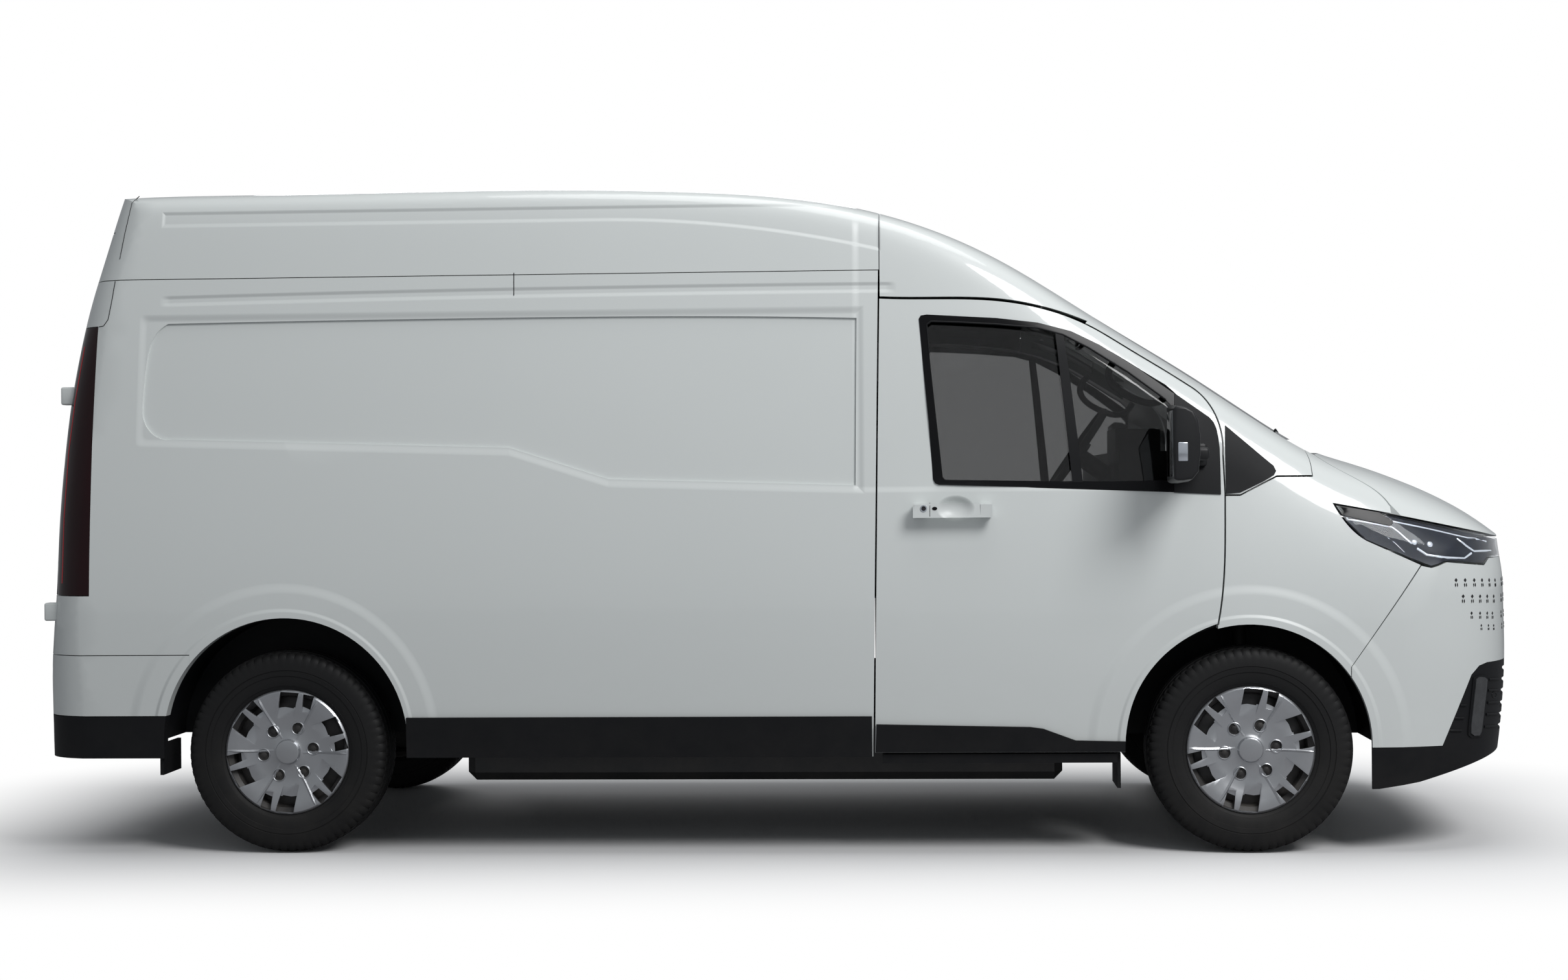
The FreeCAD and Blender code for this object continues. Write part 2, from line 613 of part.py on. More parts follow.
REAR_X = (TAIL_X - 100, TAIL_X + 420)
MEET = 4
relief = moved_skin(12, 0, 0).common(block(*REAR_X, -22, 0, REAR_LOW, REAR_TOP))
panel("rear_door_right", block(*REAR_X, -REAR_HALF + GAP, -MEET, REAR_LOW + GAP, REAR_TOP - GAP), [relief])
keep("rear_door_left", mirrored("rear_door_left", PIECES["rear_door_right"]))
lamp = common("tail_lamp_right", wall_shell, feature("tail_lamp_zone", block(
    TAIL_X - 50, LAMP_EDGE_X - 0.3, -1100, -REAR_HALF - 22 - SEAM, 912 + SEAM, 1868 - SEAM)))
keep("tail_lamps", fuse("tail_lamps", [lamp, mirrored("tail_lamp_left", lamp)]))
bumper_block = block(TAIL_X - 60, -2118, -1006, 1006, SIDE_Z - 2, 487).cut(both_sides(rear_arch))
bumper_block = bumper_block.cut(block(-2530, 0, -880, 880, 0, 900)).cut(both_sides(
    block(-2150, -2100, -966, -600, 0, 389.7).fuse(rod((REAR_AXLE_X, -952, 386), (REAR_AXLE_X, -600, 386), 452.5))))
keep("rear_bumper", common("rear_bumper", feature("bumper_skin", moved_skin(-43, 0, 0)),
                           feature("rear_bumper_zone", bumper_block)))

# Trims on the sides

rail = cladding("side_trim", block(-1262, 362, -1100, -800, SIDE_Z, SILL_Z))
step = fuse("door_sill", [common("door_sill_bar", outer_skin, feature("door_sill_zone", block(
    397, 1205.7, -1100, -885, 318, 349))), feature("door_sill_web", block(397, 1205.7, -905, -885, 340, 499.7))])
keep("sill_trims", fuse("sill_trims", [rail, step, mirrored("side_trim_left", rail), mirrored("sill_left", step)]))

# Floor, bulkhead and chassis

FLOOR_Z = dim("floor_z")
FLOOR_T = dim("floor_thick")
FLOOR = [(-2560, FLOOR_Z), (249.7, FLOOR_Z), (249.7, 540), (1290, 540), (1438, 720), (1438, 1290), (1478, 1290),
         (1478, 706), (1312, 500), (209.7, 500), (209.7, FLOOR_Z - FLOOR_T), (-2560, FLOOR_Z - FLOOR_T)]


def pad_body(label, points, role, expression, midplane=True, offset=0):
    """Body of one pad from a sketch on a base plane, its length bound to the sheet."""
    body = doc.addObject("PartDesign::Body", label)
    plane = [f for f in body.Origin.OriginFeatures if f.Role == role][0]
    sketch = body.newObject("Sketcher::SketchObject", label + "_sketch")
    sketch.AttachmentSupport = [(plane, "")]
    sketch.MapMode = "FlatFace"
    if offset:
        sketch.AttachmentOffset = FreeCAD.Placement(V(0, 0, offset), FreeCAD.Rotation())
    for start, end in zip(points, points[1:] + points[:1]):
        a, b = to_size(start[0], 0, start[1]), to_size(end[0], 0, end[1])
        sketch.addGeometry(Part.LineSegment(V(a.x, a.z, 0), V(b.x, b.z, 0)), False)
    pad = body.newObject("PartDesign::Pad", label + "_pad")
    pad.Profile = sketch
    pad.Midplane = midplane
    pad.setExpression("Length", expression)
    return body


floor = pad_body("floor_blank", FLOOR, "XZ_Plane", "Dimensions.overall_width - 2 * Dimensions.wall - 90")
FRONT_WELL, REAR_WELL = 530, 690
well_front = both_sides(rod((FRONT_AXLE_X, -FRONT_WELL, TYRE_R), (FRONT_AXLE_X, -1100, TYRE_R), 454))
well_rear = both_sides(rod((REAR_AXLE_X, -REAR_WELL, 386), (REAR_AXLE_X, -1100, 386), 454))
DOOR_HINGE_X, DOOR_HINGE_Y = 1500, 985
door_sweep = both_sides(rod((DOOR_HINGE_X, -DOOR_HINGE_Y, 300), (DOOR_HINGE_X, -DOOR_HINGE_Y, 1500), 120))
floor_cut = cut("floor_in_body", floor, feature("floor_wells", well_front.fuse(well_rear).fuse(door_sweep)))
keep("floor_pan", common("floor_pan", floor_cut, inner_skin))
keep("bulkhead", common("bulkhead", inner_skin, feature("bulkhead_zone", block(250, 262, -1100, 1100, 540.3, 2400))))


def box(label, x0, x1, y0, y1, z0, z1):
    obj = doc.addObject("Part::Box", label)
    low, high = to_size(x0, y0, z0), to_size(x1, y1, z1)
    obj.Length, obj.Width, obj.Height = high - low
    obj.Placement = FreeCAD.Placement(low, FreeCAD.Rotation())
    return obj


rails = [box("rail_%d" % n, -2480, 1190, y - 40, y + 40, 470, 499.7) for n, y in enumerate((-560, 560))]
rails += [box("cross_%d" % n, x - 50, x + 50, -520, 520, 470, 499.7) for n, x in enumerate((-2350, -1250, 1150))]
rails += [box("front_rail_%d" % n, 1190, 2440, y - 30, y + 30, 470, 499.7) for n, y in enumerate((-470, 470))]
rails += [box("jack_pad_%d" % n, 1065, 1135, y - 35, y + 35, 440, 470) for n, y in enumerate((-560, 560))]
rails.append(box("crash_beam", 2440, 2480, -600, 600, 440, 540))
keep("underframe", fuse("underframe", rails))
pack = box("battery_case", -1120, 1040, -640, 640, 215, 469.7)
chamfer = doc.addObject("Part::Chamfer", "battery_pack")
chamfer.Base = pack
chamfer.Edges = [(n + 1, 30.0, 30.0) for n in range(12)]
keep("battery_pack", chamfer)


def liner(x, z, well, skin_y):
    ring = rod((x, -well, z), (x, -skin_y, z), 452).cut(rod((x, -well, z), (x, -skin_y, z), 441))
    wall = rod((x, -well, z), (x, -well - 10, z), 452)
    return ring.fuse(wall).cut(block(x - 600, x + 600, -1100, 0, -200, z + 15))


KING_LOW = V(FRONT_AXLE_X, -775, 215)
KING_HIGH = V(FRONT_AXLE_X, -640, 905)
king = KING_HIGH - KING_LOW


def king_point(z):
    return KING_LOW + king * ((z - KING_LOW.z) / king.z)


front_liner = liner(FRONT_AXLE_X, TYRE_R, FRONT_WELL, 948).cut(rod(tuple(king_point(650)), tuple(king_point(1000)), 95))
front_liner = front_liner.cut(rod((FRONT_AXLE_X, -500, 356), (FRONT_AXLE_X, -560, 356), 60))
rear_liner = liner(REAR_AXLE_X, 386, REAR_WELL, 950)
keep("wheelhouses", feature("wheelhouses", both_sides(front_liner.fuse(rear_liner))))
flaps = [box("flap_%d" % n, x - 6, x + 6, y0, y0 + 200, z0, z1)
         for n, (x, y0, z0, z1) in enumerate([(1212, -966, 228, 350), (1212, 766, 228, 350),
                                              (-2143.7, -966, 278, 389), (-2143.7, 766, 278, 389)])]
keep("mudflaps", fuse("mudflaps", flaps))

subframe = block(1480, 1860, -500, 500, 190, 250)
BALL = king_point(204)
arms = rod((FRONT_AXLE_X - 150, -400, 225), tuple(BALL), 15).fuse(
    rod((FRONT_AXLE_X + 120, -400, 225), tuple(BALL), 15)).fuse(Part.makeSphere(19, to_size(*BALL)))
legs = block(1500, 1560, -500, -440, 250, 469.7).fuse(block(1780, 1840, -500, -440, 250, 469.7))
keep("front_subframe", feature("front_subframe", both_sides(subframe.fuse(arms).fuse(legs))))
motor = block(1500, 1840, -260, 260, 250.3, 560)
inverter = block(1560, 1900, -380, 300, 560, 820)
shafts = rod((FRONT_AXLE_X, -660, 356), (FRONT_AXLE_X, 660, 356), 15)
keep("drive_unit", feature("drive_unit", motor.fuse(inverter).fuse(shafts)))

beam = rod((REAR_AXLE_X, -HALF_TRACK - 39.7, TYRE_R), (REAR_AXLE_X, HALF_TRACK + 39.7, TYRE_R), 38)
springs = both_sides(block(REAR_AXLE_X - 560, REAR_AXLE_X + 520, -595, -525, 400, 424).fuse(
    block(REAR_AXLE_X - 50, REAR_AXLE_X + 50, -600, -520, 380, 405)).fuse(
    block(REAR_AXLE_X - 560, REAR_AXLE_X - 520, -595, -525, 424, 469.7)).fuse(
    block(REAR_AXLE_X + 480, REAR_AXLE_X + 520, -595, -525, 424, 469.7)))
keep("rear_axle", feature("rear_axle", beam.fuse(springs)))

# Cab inside

seat_parts = []
for n, (low, high) in enumerate(((-700, -190), (-60, 780))):
    cushion = block(420, 930, low, high, 720, 860)
    back = block(300, 420, low + 10, high - 10, 780, 1480)
    base = block(460, 860, low + 40, high - 40, 540.3, 720)
    seat = cushion.fuse(back).fuse(base)
    places = [(low + high) / 2] if high - low < 600 else [low + 200, high - 200]
    for middle in places:
        seat = seat.fuse(block(315, 400, middle - 125, middle + 125, 1500, 1690)).fuse(
            block(350, 362, middle - 50, middle - 38, 1470, 1510)).fuse(
            block(350, 362, middle + 38, middle + 50, 1470, 1510))
    seat_parts.append(seat)
keep("seats", feature("seats", seat_parts[0].fuse(seat_parts[1])))


def dashboard(grow=0):
    """Dashboard with its upper hood and the instruments' housing in front of the driver."""
    boxes = [(1160, 1437.7, -860, 860, 960, 1290), (1230, 1437.7, -850, 850, 1290, 1390),
             (1240, 1400, -610, -250, 1390, 1475)]
    shapes = [block(x0 - grow, x1, y0 - grow, y1 + grow, z0, z1 + grow) for x0, x1, y0, y1, z0, z1 in boxes]
    return shapes[0].fuse(shapes[1]).fuse(shapes[2])


keep("dashboard", feature("dashboard", dashboard()))
WHEEL_CENTRE = to_size(1107, -430, 1390)
WHEEL_LEAN = math.radians(55)
lean = V(math.sin(WHEEL_LEAN), 0, -math.cos(WHEEL_LEAN))
rim_section = Part.makePolygon([V(r, 0, h) for r, h in ((170, 0), (178, 13), (192, 13), (200, 0), (192, -13),
                                                       (178, -13), (170, 0))])
wheel_rim = Part.Face(rim_section).revolve(V(0, 0, 0), V(0, 0, 1), 360)
wheel_rim.Placement = FreeCAD.Placement(WHEEL_CENTRE, FreeCAD.Rotation(V(0, 0, 1), lean))
spokes = Part.makeCylinder(60, 30, WHEEL_CENTRE, lean).fuse(
    Part.makeBox(20, 350, 24, WHEEL_CENTRE + V(-4, -175, -12))).fuse(
    Part.makeCylinder(32, 380, WHEEL_CENTRE, lean).cut(dashboard(0.3)))
keep("steering_wheel", feature("steering_wheel", wheel_rim.fuse(spokes)))

# Wheels, built for the right-hand side round the origin and set on their axles


def revolved(label, profile):
    """Body revolved round the axle from a profile of (y, radius) corners."""
    body = doc.addObject("PartDesign::Body", label)
    plane = [f for f in body.Origin.OriginFeatures if f.Role == "YZ_Plane"][0]
    sketch = body.newObject("Sketcher::SketchObject", label + "_sketch")
    sketch.AttachmentSupport = [(plane, "")]
    sketch.MapMode = "FlatFace"
    for start, end in zip(profile, profile[1:] + profile[:1]):
        sketch.addGeometry(Part.LineSegment(V(start[0], start[1], 0), V(end[0], end[1], 0)), False)
    revolution = body.newObject("PartDesign::Revolution", label + "_turn")
    revolution.Profile = sketch
    revolution.ReferenceAxis = (sketch, ["H_Axis"])
    revolution.Angle = 360
    return body


RIM_R = dim("rim_radius")
TYRE_W = dim("tyre_width")
HALF_TYRE = TYRE_W / 2
TYRE_PROFILE = [(-80, RIM_R + 2.3), (-HALF_TYRE, RIM_R + 75), (-HALF_TYRE + 26, TYRE_R), (HALF_TYRE - 26, TYRE_R),
                (HALF_TYRE, RIM_R + 75), (80, RIM_R + 2.3)]
WHEEL_PROFILE = [(-92, 0), (-92, 42), (-73, 58), (-75, 112), (-96, 200), (-90, 221), (-80.3, 205), (80, 205),
                 (86, 216), (88, 196), (-40, 180), (-40, 0)]
AXLES = [("front_right", FRONT_AXLE_X, -1), ("front_left", FRONT_AXLE_X, 1),
         ("rear_right", REAR_AXLE_X, -1), ("rear_left", REAR_AXLE_X, 1)]
for place, x, side_sign in AXLES:
    turn = FreeCAD.Rotation(V(0, 0, 1), 0 if side_sign < 0 else 180)
    at = FreeCAD.Placement(to_size(x, side_sign * HALF_TRACK, TYRE_R), turn)
    tyre = revolved("tyre_" + place, TYRE_PROFILE)
    tyre.Placement = at
    keep("tyre_" + place, tyre)
    wheel = revolved("wheel_" + place, WHEEL_PROFILE)
    wheel.Placement = at
    keep("wheel_" + place, wheel)

# Steering knuckles

HUB_END = HALF_TRACK + 39.7
carrier = rod((FRONT_AXLE_X, -700, TYRE_R), (FRONT_AXLE_X, -HUB_END, TYRE_R), 40)
upright = rod(tuple(king_point(231)), tuple(king_point(480)), 22)
strut = rod(tuple(king_point(400)), tuple(king_point(905)), 26)
seat_plate = rod(tuple(king_point(765)), tuple(king_point(785)), 70)
knuckle = feature("knuckle_right_body", carrier.fuse(upright).fuse(strut).fuse(seat_plate))
keep("knuckle_right", knuckle)
keep("knuckle_left", mirrored("knuckle_left_body", knuckle))

# Check and write

doc.recompute()
for obj in doc.Objects:
    if "Invalid" in obj.State or "Error" in obj.State:
        raise RuntimeError("%s failed: %s" % (obj.Label, obj.State))
for node, obj in PIECES.items():
    shape = obj.Shape
    if shape.isNull() or not shape.Solids or not shape.isValid():
        raise RuntimeError("%s has no valid solid" % node)
    if not all(shell.isClosed() for shell in shape.Shells) or min(solid.Volume for solid in shape.Solids) <= 0:
        raise RuntimeError("%s is open or inside out" % node)
    print(node, len(obj.Shape.Solids), round(obj.Shape.Volume / 1e6, 2))
for node, obj in PIECES.items():
    obj.Shape.exportStep("parts/%s.step" % node)
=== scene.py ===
import json
import math

import bpy
import numpy
from mathutils import Matrix, Vector
from mathutils.bvhtree import BVHTree

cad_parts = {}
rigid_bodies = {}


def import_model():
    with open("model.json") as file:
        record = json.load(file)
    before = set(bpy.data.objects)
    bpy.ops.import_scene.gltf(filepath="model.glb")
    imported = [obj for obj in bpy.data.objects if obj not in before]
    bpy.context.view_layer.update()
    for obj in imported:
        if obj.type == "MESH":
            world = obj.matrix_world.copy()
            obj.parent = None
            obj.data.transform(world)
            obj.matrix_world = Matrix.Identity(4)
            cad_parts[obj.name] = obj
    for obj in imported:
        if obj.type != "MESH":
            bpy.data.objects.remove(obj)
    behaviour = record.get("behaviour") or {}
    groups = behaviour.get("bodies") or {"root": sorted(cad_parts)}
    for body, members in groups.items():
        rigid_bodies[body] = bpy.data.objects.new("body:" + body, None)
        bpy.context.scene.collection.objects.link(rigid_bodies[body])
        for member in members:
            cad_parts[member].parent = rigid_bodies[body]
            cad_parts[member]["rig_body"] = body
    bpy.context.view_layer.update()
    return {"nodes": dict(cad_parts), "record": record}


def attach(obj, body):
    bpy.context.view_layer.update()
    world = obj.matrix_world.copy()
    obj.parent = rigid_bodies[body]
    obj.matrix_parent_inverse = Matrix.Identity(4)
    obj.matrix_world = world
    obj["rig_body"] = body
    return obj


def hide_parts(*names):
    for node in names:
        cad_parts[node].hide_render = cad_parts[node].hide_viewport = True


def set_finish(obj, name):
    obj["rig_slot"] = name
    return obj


bl_info = {
    "name": "Panel van",
    "version": (1, 0, 0),
    "blender": (4, 5, 0),
    "location": "View3D > Sidebar > Van",
    "description": "Builds the looks of a high-roof panel van round its packed solids",
    "category": "Add Mesh",
}

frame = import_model()
NODES = frame["nodes"]
SLOT_OF = {part["node"]: part["material_slot"] for part in frame["record"]["subparts"]}
BODY_OF = {node: obj["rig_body"] for node, obj in NODES.items()}

FRONT_AXLE = Vector((1.666, 0, 0.356))
REAR_AXLE = Vector((-1.700, 0, 0.356))
HALF_TRACK = 0.8585
SIDES = (("right", -1), ("left", 1))
RIGHT_WALL_Y = -0.97
NEAR_SIDE_Y = -0.4

# The camera, fitted to the photograph, with the focal length and the middle in its pixels
FOCAL, MIDDLE = 3592.08, (1210, 756)
EYE = Vector((0.4995, -9.046, 1.280))
YAW, PITCH, ROLL = 0.05405, -0.0018, -0.0084
SENSOR_WIDTH, LENS = 36, 53.44
FORWARD = Vector((-math.sin(YAW) * math.cos(PITCH), math.cos(YAW) * math.cos(PITCH), math.sin(PITCH)))
LEVEL = Vector((math.cos(YAW), math.sin(YAW), 0))
ACROSS = LEVEL * math.cos(ROLL) + LEVEL.cross(FORWARD) * math.sin(ROLL)
UPRIGHT = LEVEL.cross(FORWARD) * math.cos(ROLL) - LEVEL * math.sin(ROLL)

PAINTED = ("side_panel_right", "side_panel_left", "rear_quarters", "roof_panel", "roof_front_cap", "cab_frame",
           "bonnet", "front_wings", "front_bumper", "front_door_right", "front_door_left", "sliding_door",
           "rear_door_right", "rear_door_left")
BLACK = ("cowl_panel", "lower_grille", "door_cladding_right", "door_cladding_left", "rear_bumper", "sill_trims",
         "wheelhouses", "mudflaps")
PANES = ("windscreen", "door_glass_right", "door_glass_left")
CHASSIS = ("floor_pan", "bulkhead", "underframe", "front_subframe", "rear_axle", "knuckle_right", "knuckle_left")
CASES = ("battery_pack", "drive_unit")


# Materials


def put(tree, target, value):
    """Link a shader value to a socket, or set the socket to a plain value."""
    value = getattr(value, "socket", value)
    if isinstance(value, bpy.types.NodeSocket):
        tree.links.new(value, target)
    else:
        target.default_value = value


def add(tree, kind, **values):
    """Node of a kind with its properties and inputs; at_3 is the input at place 3."""
    node = tree.nodes.new("ShaderNode" + kind)
    for key, value in values.items():
        if key in node.bl_rna.properties:
            setattr(node, key, value)
        else:
            put(tree, node.inputs[int(key[3:]) if key.startswith("at_") else key.replace("_", " ")], value)
    return node


def calculated(tree, operation, *values):
    node = add(tree, "Math", operation=operation)
    for socket, value in zip(node.inputs, values):
        put(tree, socket, value)
    return Field(tree, node.outputs[0])


class Field:
    """Shader value whose operators add nodes to its tree."""

    def __init__(self, tree, socket):
        self.tree, self.socket = tree, socket

    def math(self, operation, *others):
        return calculated(self.tree, operation, self, *others)

    def __add__(self, other):
        return self.math("ADD", other)

    def __sub__(self, other):
        return self.math("SUBTRACT", other)

    def __rsub__(self, other):
        return calculated(self.tree, "SUBTRACT", other, self)

    def __mul__(self, other):
        return self.math("MULTIPLY", other)

    def __abs__(self):
        return self.math("ABSOLUTE")

    def least(self, other):
        return self.math("MINIMUM", other)

    def most(self, other):
        return self.math("MAXIMUM", other)

    def between(self, low, high, out_low=0.0, out_high=1.0, **kind):
        """The value brought from one range to another and held inside it."""
        return Field(self.tree, add(self.tree, "MapRange", at_0=self, at_1=low, at_2=high, at_3=out_low,
                                    at_4=out_high, **kind).outputs[0])

    def step(self, low, high):
        return self.between(low, high, interpolation_type="SMOOTHSTEP")


def distance(a, b):
    return (a * a + b * b).math("SQRT")


def parts(tree, vector):
    return [Field(tree, output) for output in add(tree, "SeparateXYZ", Vector=vector).outputs]


def object_place(tree):
    return tree.nodes.new("ShaderNodeTexCoord").outputs["Object"]


def noise(tree, place, scale, detail=3.0, roughness=0.55):
    return Field(tree, add(tree, "TexNoise", Vector=place, Scale=scale, Detail=detail,
                           Roughness=roughness).outputs["Fac"])


def mix(tree, factor, a, b):
    return add(tree, "Mix", data_type="RGBA", Factor=factor, at_6=a, at_7=b).outputs[2]


def group(name, inputs, outputs):
    tree = bpy.data.node_groups.new(name, "ShaderNodeTree")
    for label, kind, value in inputs:
        socket = tree.interface.new_socket(name=label, in_out="INPUT", socket_type="NodeSocket" + kind)
        if value is not None:
            socket.default_value = value
    for label in outputs:
        tree.interface.new_socket(name=label, in_out="OUTPUT", socket_type="NodeSocketFloat")
    return tree, tree.nodes.new("NodeGroupInput").outputs, tree.nodes.new("NodeGroupOutput").inputs


def use_group(tree, name, **values):
    """The outputs of a shared effect that is placed in a material with its own values."""
    node = tree.nodes.new("ShaderNodeGroup")
    node.node_tree = bpy.data.node_groups[name]
    for key, value in values.items():
        put(tree, node.inputs[key], value)
    return [Field(tree, output) for output in node.outputs]


def make_groups():
    """Shared effects: uneven tone, road dust and fine grain."""
    tree, given, result = group("uneven_tone", [("Place", "Vector", None), ("Patch", "Float", 2.0)],
                                ["Patches", "Marks"])
    put(tree, result["Patches"], noise(tree, given["Place"], given["Patch"], 4.0, 0.6))
    put(tree, result["Marks"], noise(tree, given["Place"], 38.0, 5.0, 0.7).between(0.58, 0.78))

    tree, given, result = group("road_dust", [("Place", "Vector", None), ("Height", "Float", 0.6)], ["Dust"])
    low = parts(tree, given["Place"])[2].between(given["Height"], 0.15)
    lying = parts(tree, tree.nodes.new("ShaderNodeNewGeometry").outputs["Normal"])[2].between(0.55, 1.0, 0.0, 0.35)
    streaks = noise(tree, given["Place"], 9.0, 6.0, 0.65)
    put(tree, result["Dust"], (low * 0.8 + lying) * streaks.between(0.3, 0.75))

    tree, given, result = group("fine_grain", [("Place", "Vector", None), ("Size", "Float", 0.002)], ["Grain"])
    scale = calculated(tree, "DIVIDE", 1.0, given["Size"])
    cells = add(tree, "TexVoronoi", Vector=given["Place"], Scale=scale, feature="SMOOTH_F1")
    soft = add(tree, "TexNoise", Vector=given["Place"], Scale=scale, Detail=2.0)
    put(tree, result["Grain"], Field(tree, cells.outputs["Distance"]) * 0.6 + Field(tree, soft.outputs["Fac"]) * 0.4)


def make_pressings():
    """Height of what is pressed into the sides: recess, gutter, roof panel, arches, belt and handle cup."""
    tree, given, result = group("side_pressings", [("Place", "Vector", None)], ["Height"])
    x, y, z = parts(tree, given["Place"])
    side = abs(y).step(0.60, 0.68)

    def line(slope, start, level):
        """Height of a straight line over x."""
        return x.math("MULTIPLY_ADD", slope, level - slope * start)

    lower_edge = line(-0.0325, -0.549, 1.308).most(line(-0.0334, -2.095, 1.461).least(line(-0.3229, -0.899, 1.421)))
    outside = (z - 1.878).math("SMOOTH_MAX", lower_edge - z, 0.03)
    outside = outside.math("SMOOTH_MAX", -2.200 - x, 0.03).most(x - 0.315)
    height = outside.step(0.0, 0.030) * 0.6

    gutter_level = (x * x).math("MULTIPLY_ADD", -0.004, 1.972)
    gutter_ends = x.step(-2.16, -2.12) * (1.0 - x.step(0.42, 0.46))
    height = height - (1.0 - abs(z - gutter_level).step(0.005, 0.021)) * gutter_ends * 0.45

    ahead = (x + 0.6).most(0.0)
    roof_edge = (ahead * ahead).math("MULTIPLY_ADD", -0.12, 2.225)
    roof = (z - roof_edge).least(2.274 - z).least(x + 2.161).least(0.40 - x)
    height = height - roof.step(-0.006, 0.010) * 0.5

    for centre_x, centre_z, crease, lip in ((-1.700, 0.400, 0.552, 0.456), (1.657, 0.372, 0.555, 0.445)):
        way = distance(x - centre_x, z - centre_z)
        flare = 1.0 - way.step(crease - 0.035, crease + 0.004)
        rim = 1.0 - way.step(lip - 0.004, lip + 0.010)
        height = height + (flare * 0.55 + rim * 0.5) * (1.0 - z.step(1.02, 1.08))

    door = x.step(0.30, 0.33) * (1.0 - x.step(1.50, 1.60))
    height = height - z.step(1.252, 1.276) * door * 0.4

    a, b = (x - 0.656) * (1 / 0.062), (z - 1.197) * (1 / 0.043)
    height = height - (1.0 - (a * a + b * b).step(-0.4, 1.15)) * 2.0
    put(tree, result["Height"], height * side)


def blank_material(name):
    material = bpy.data.materials.new(name)
    material.use_nodes = True
    tree = material.node_tree
    tree.nodes.clear()
    shader = tree.nodes.new("ShaderNodeBsdfPrincipled")
    put(tree, tree.nodes.new("ShaderNodeOutputMaterial").inputs["Surface"], shader.outputs[0])
    return material, tree, shader


def finish(name, colour, roughness, *, spread=0.08, patch=2.0, metallic=0.0, coat=0.0, coat_roughness=0.03,
           grain=0.002, relief=0.1, depth=0.0004, dust=0.0, dust_height=0.6, dust_colour=(0.30, 0.27, 0.23, 1),
           uneven=0.06, transmission=0.0, ior=1.5, sheen=0.0, specular=0.5, pressed=False):
    """Material with uneven tone, marks, dust, an uneven roughness and a grain."""
    tree, shader = blank_material(name)[1:]
    place = object_place(tree)
    patches, marks = use_group(tree, "uneven_tone", Place=place, Patch=patch)
    base = mix(tree, patches, [c * (1 - spread) for c in colour] + [1],
               [min(1, c * (1 + spread)) for c in colour] + [1])
    rough = patches.between(0.3, 0.7, max(0, roughness - uneven), roughness + uneven) + marks * uneven
    if dust:
        dirt = use_group(tree, "road_dust", Place=place, Height=dust_height)[0] * dust
        base = mix(tree, dirt, base, dust_colour)
        rough = rough + dirt * 0.4
    values = {"Base Color": base, "Roughness": rough, "Metallic": metallic, "Coat Weight": coat,
              "Coat Roughness": coat_roughness, "Transmission Weight": transmission, "IOR": ior,
              "Sheen Weight": sheen, "Specular IOR Level": specular}
    if relief:
        height = use_group(tree, "fine_grain", Place=place, Size=grain)[0]
        bump = add(tree, "Bump", Strength=relief, Distance=depth, Height=height)
        if pressed:
            pressing = use_group(tree, "side_pressings", Place=place)[0]
            bump = add(tree, "Bump", Strength=1.0, Distance=0.010, Height=pressing, Normal=bump.outputs[0])
        values["Normal"] = bump.outputs[0]
    for key, value in values.items():
        put(tree, shader.inputs[key], value)


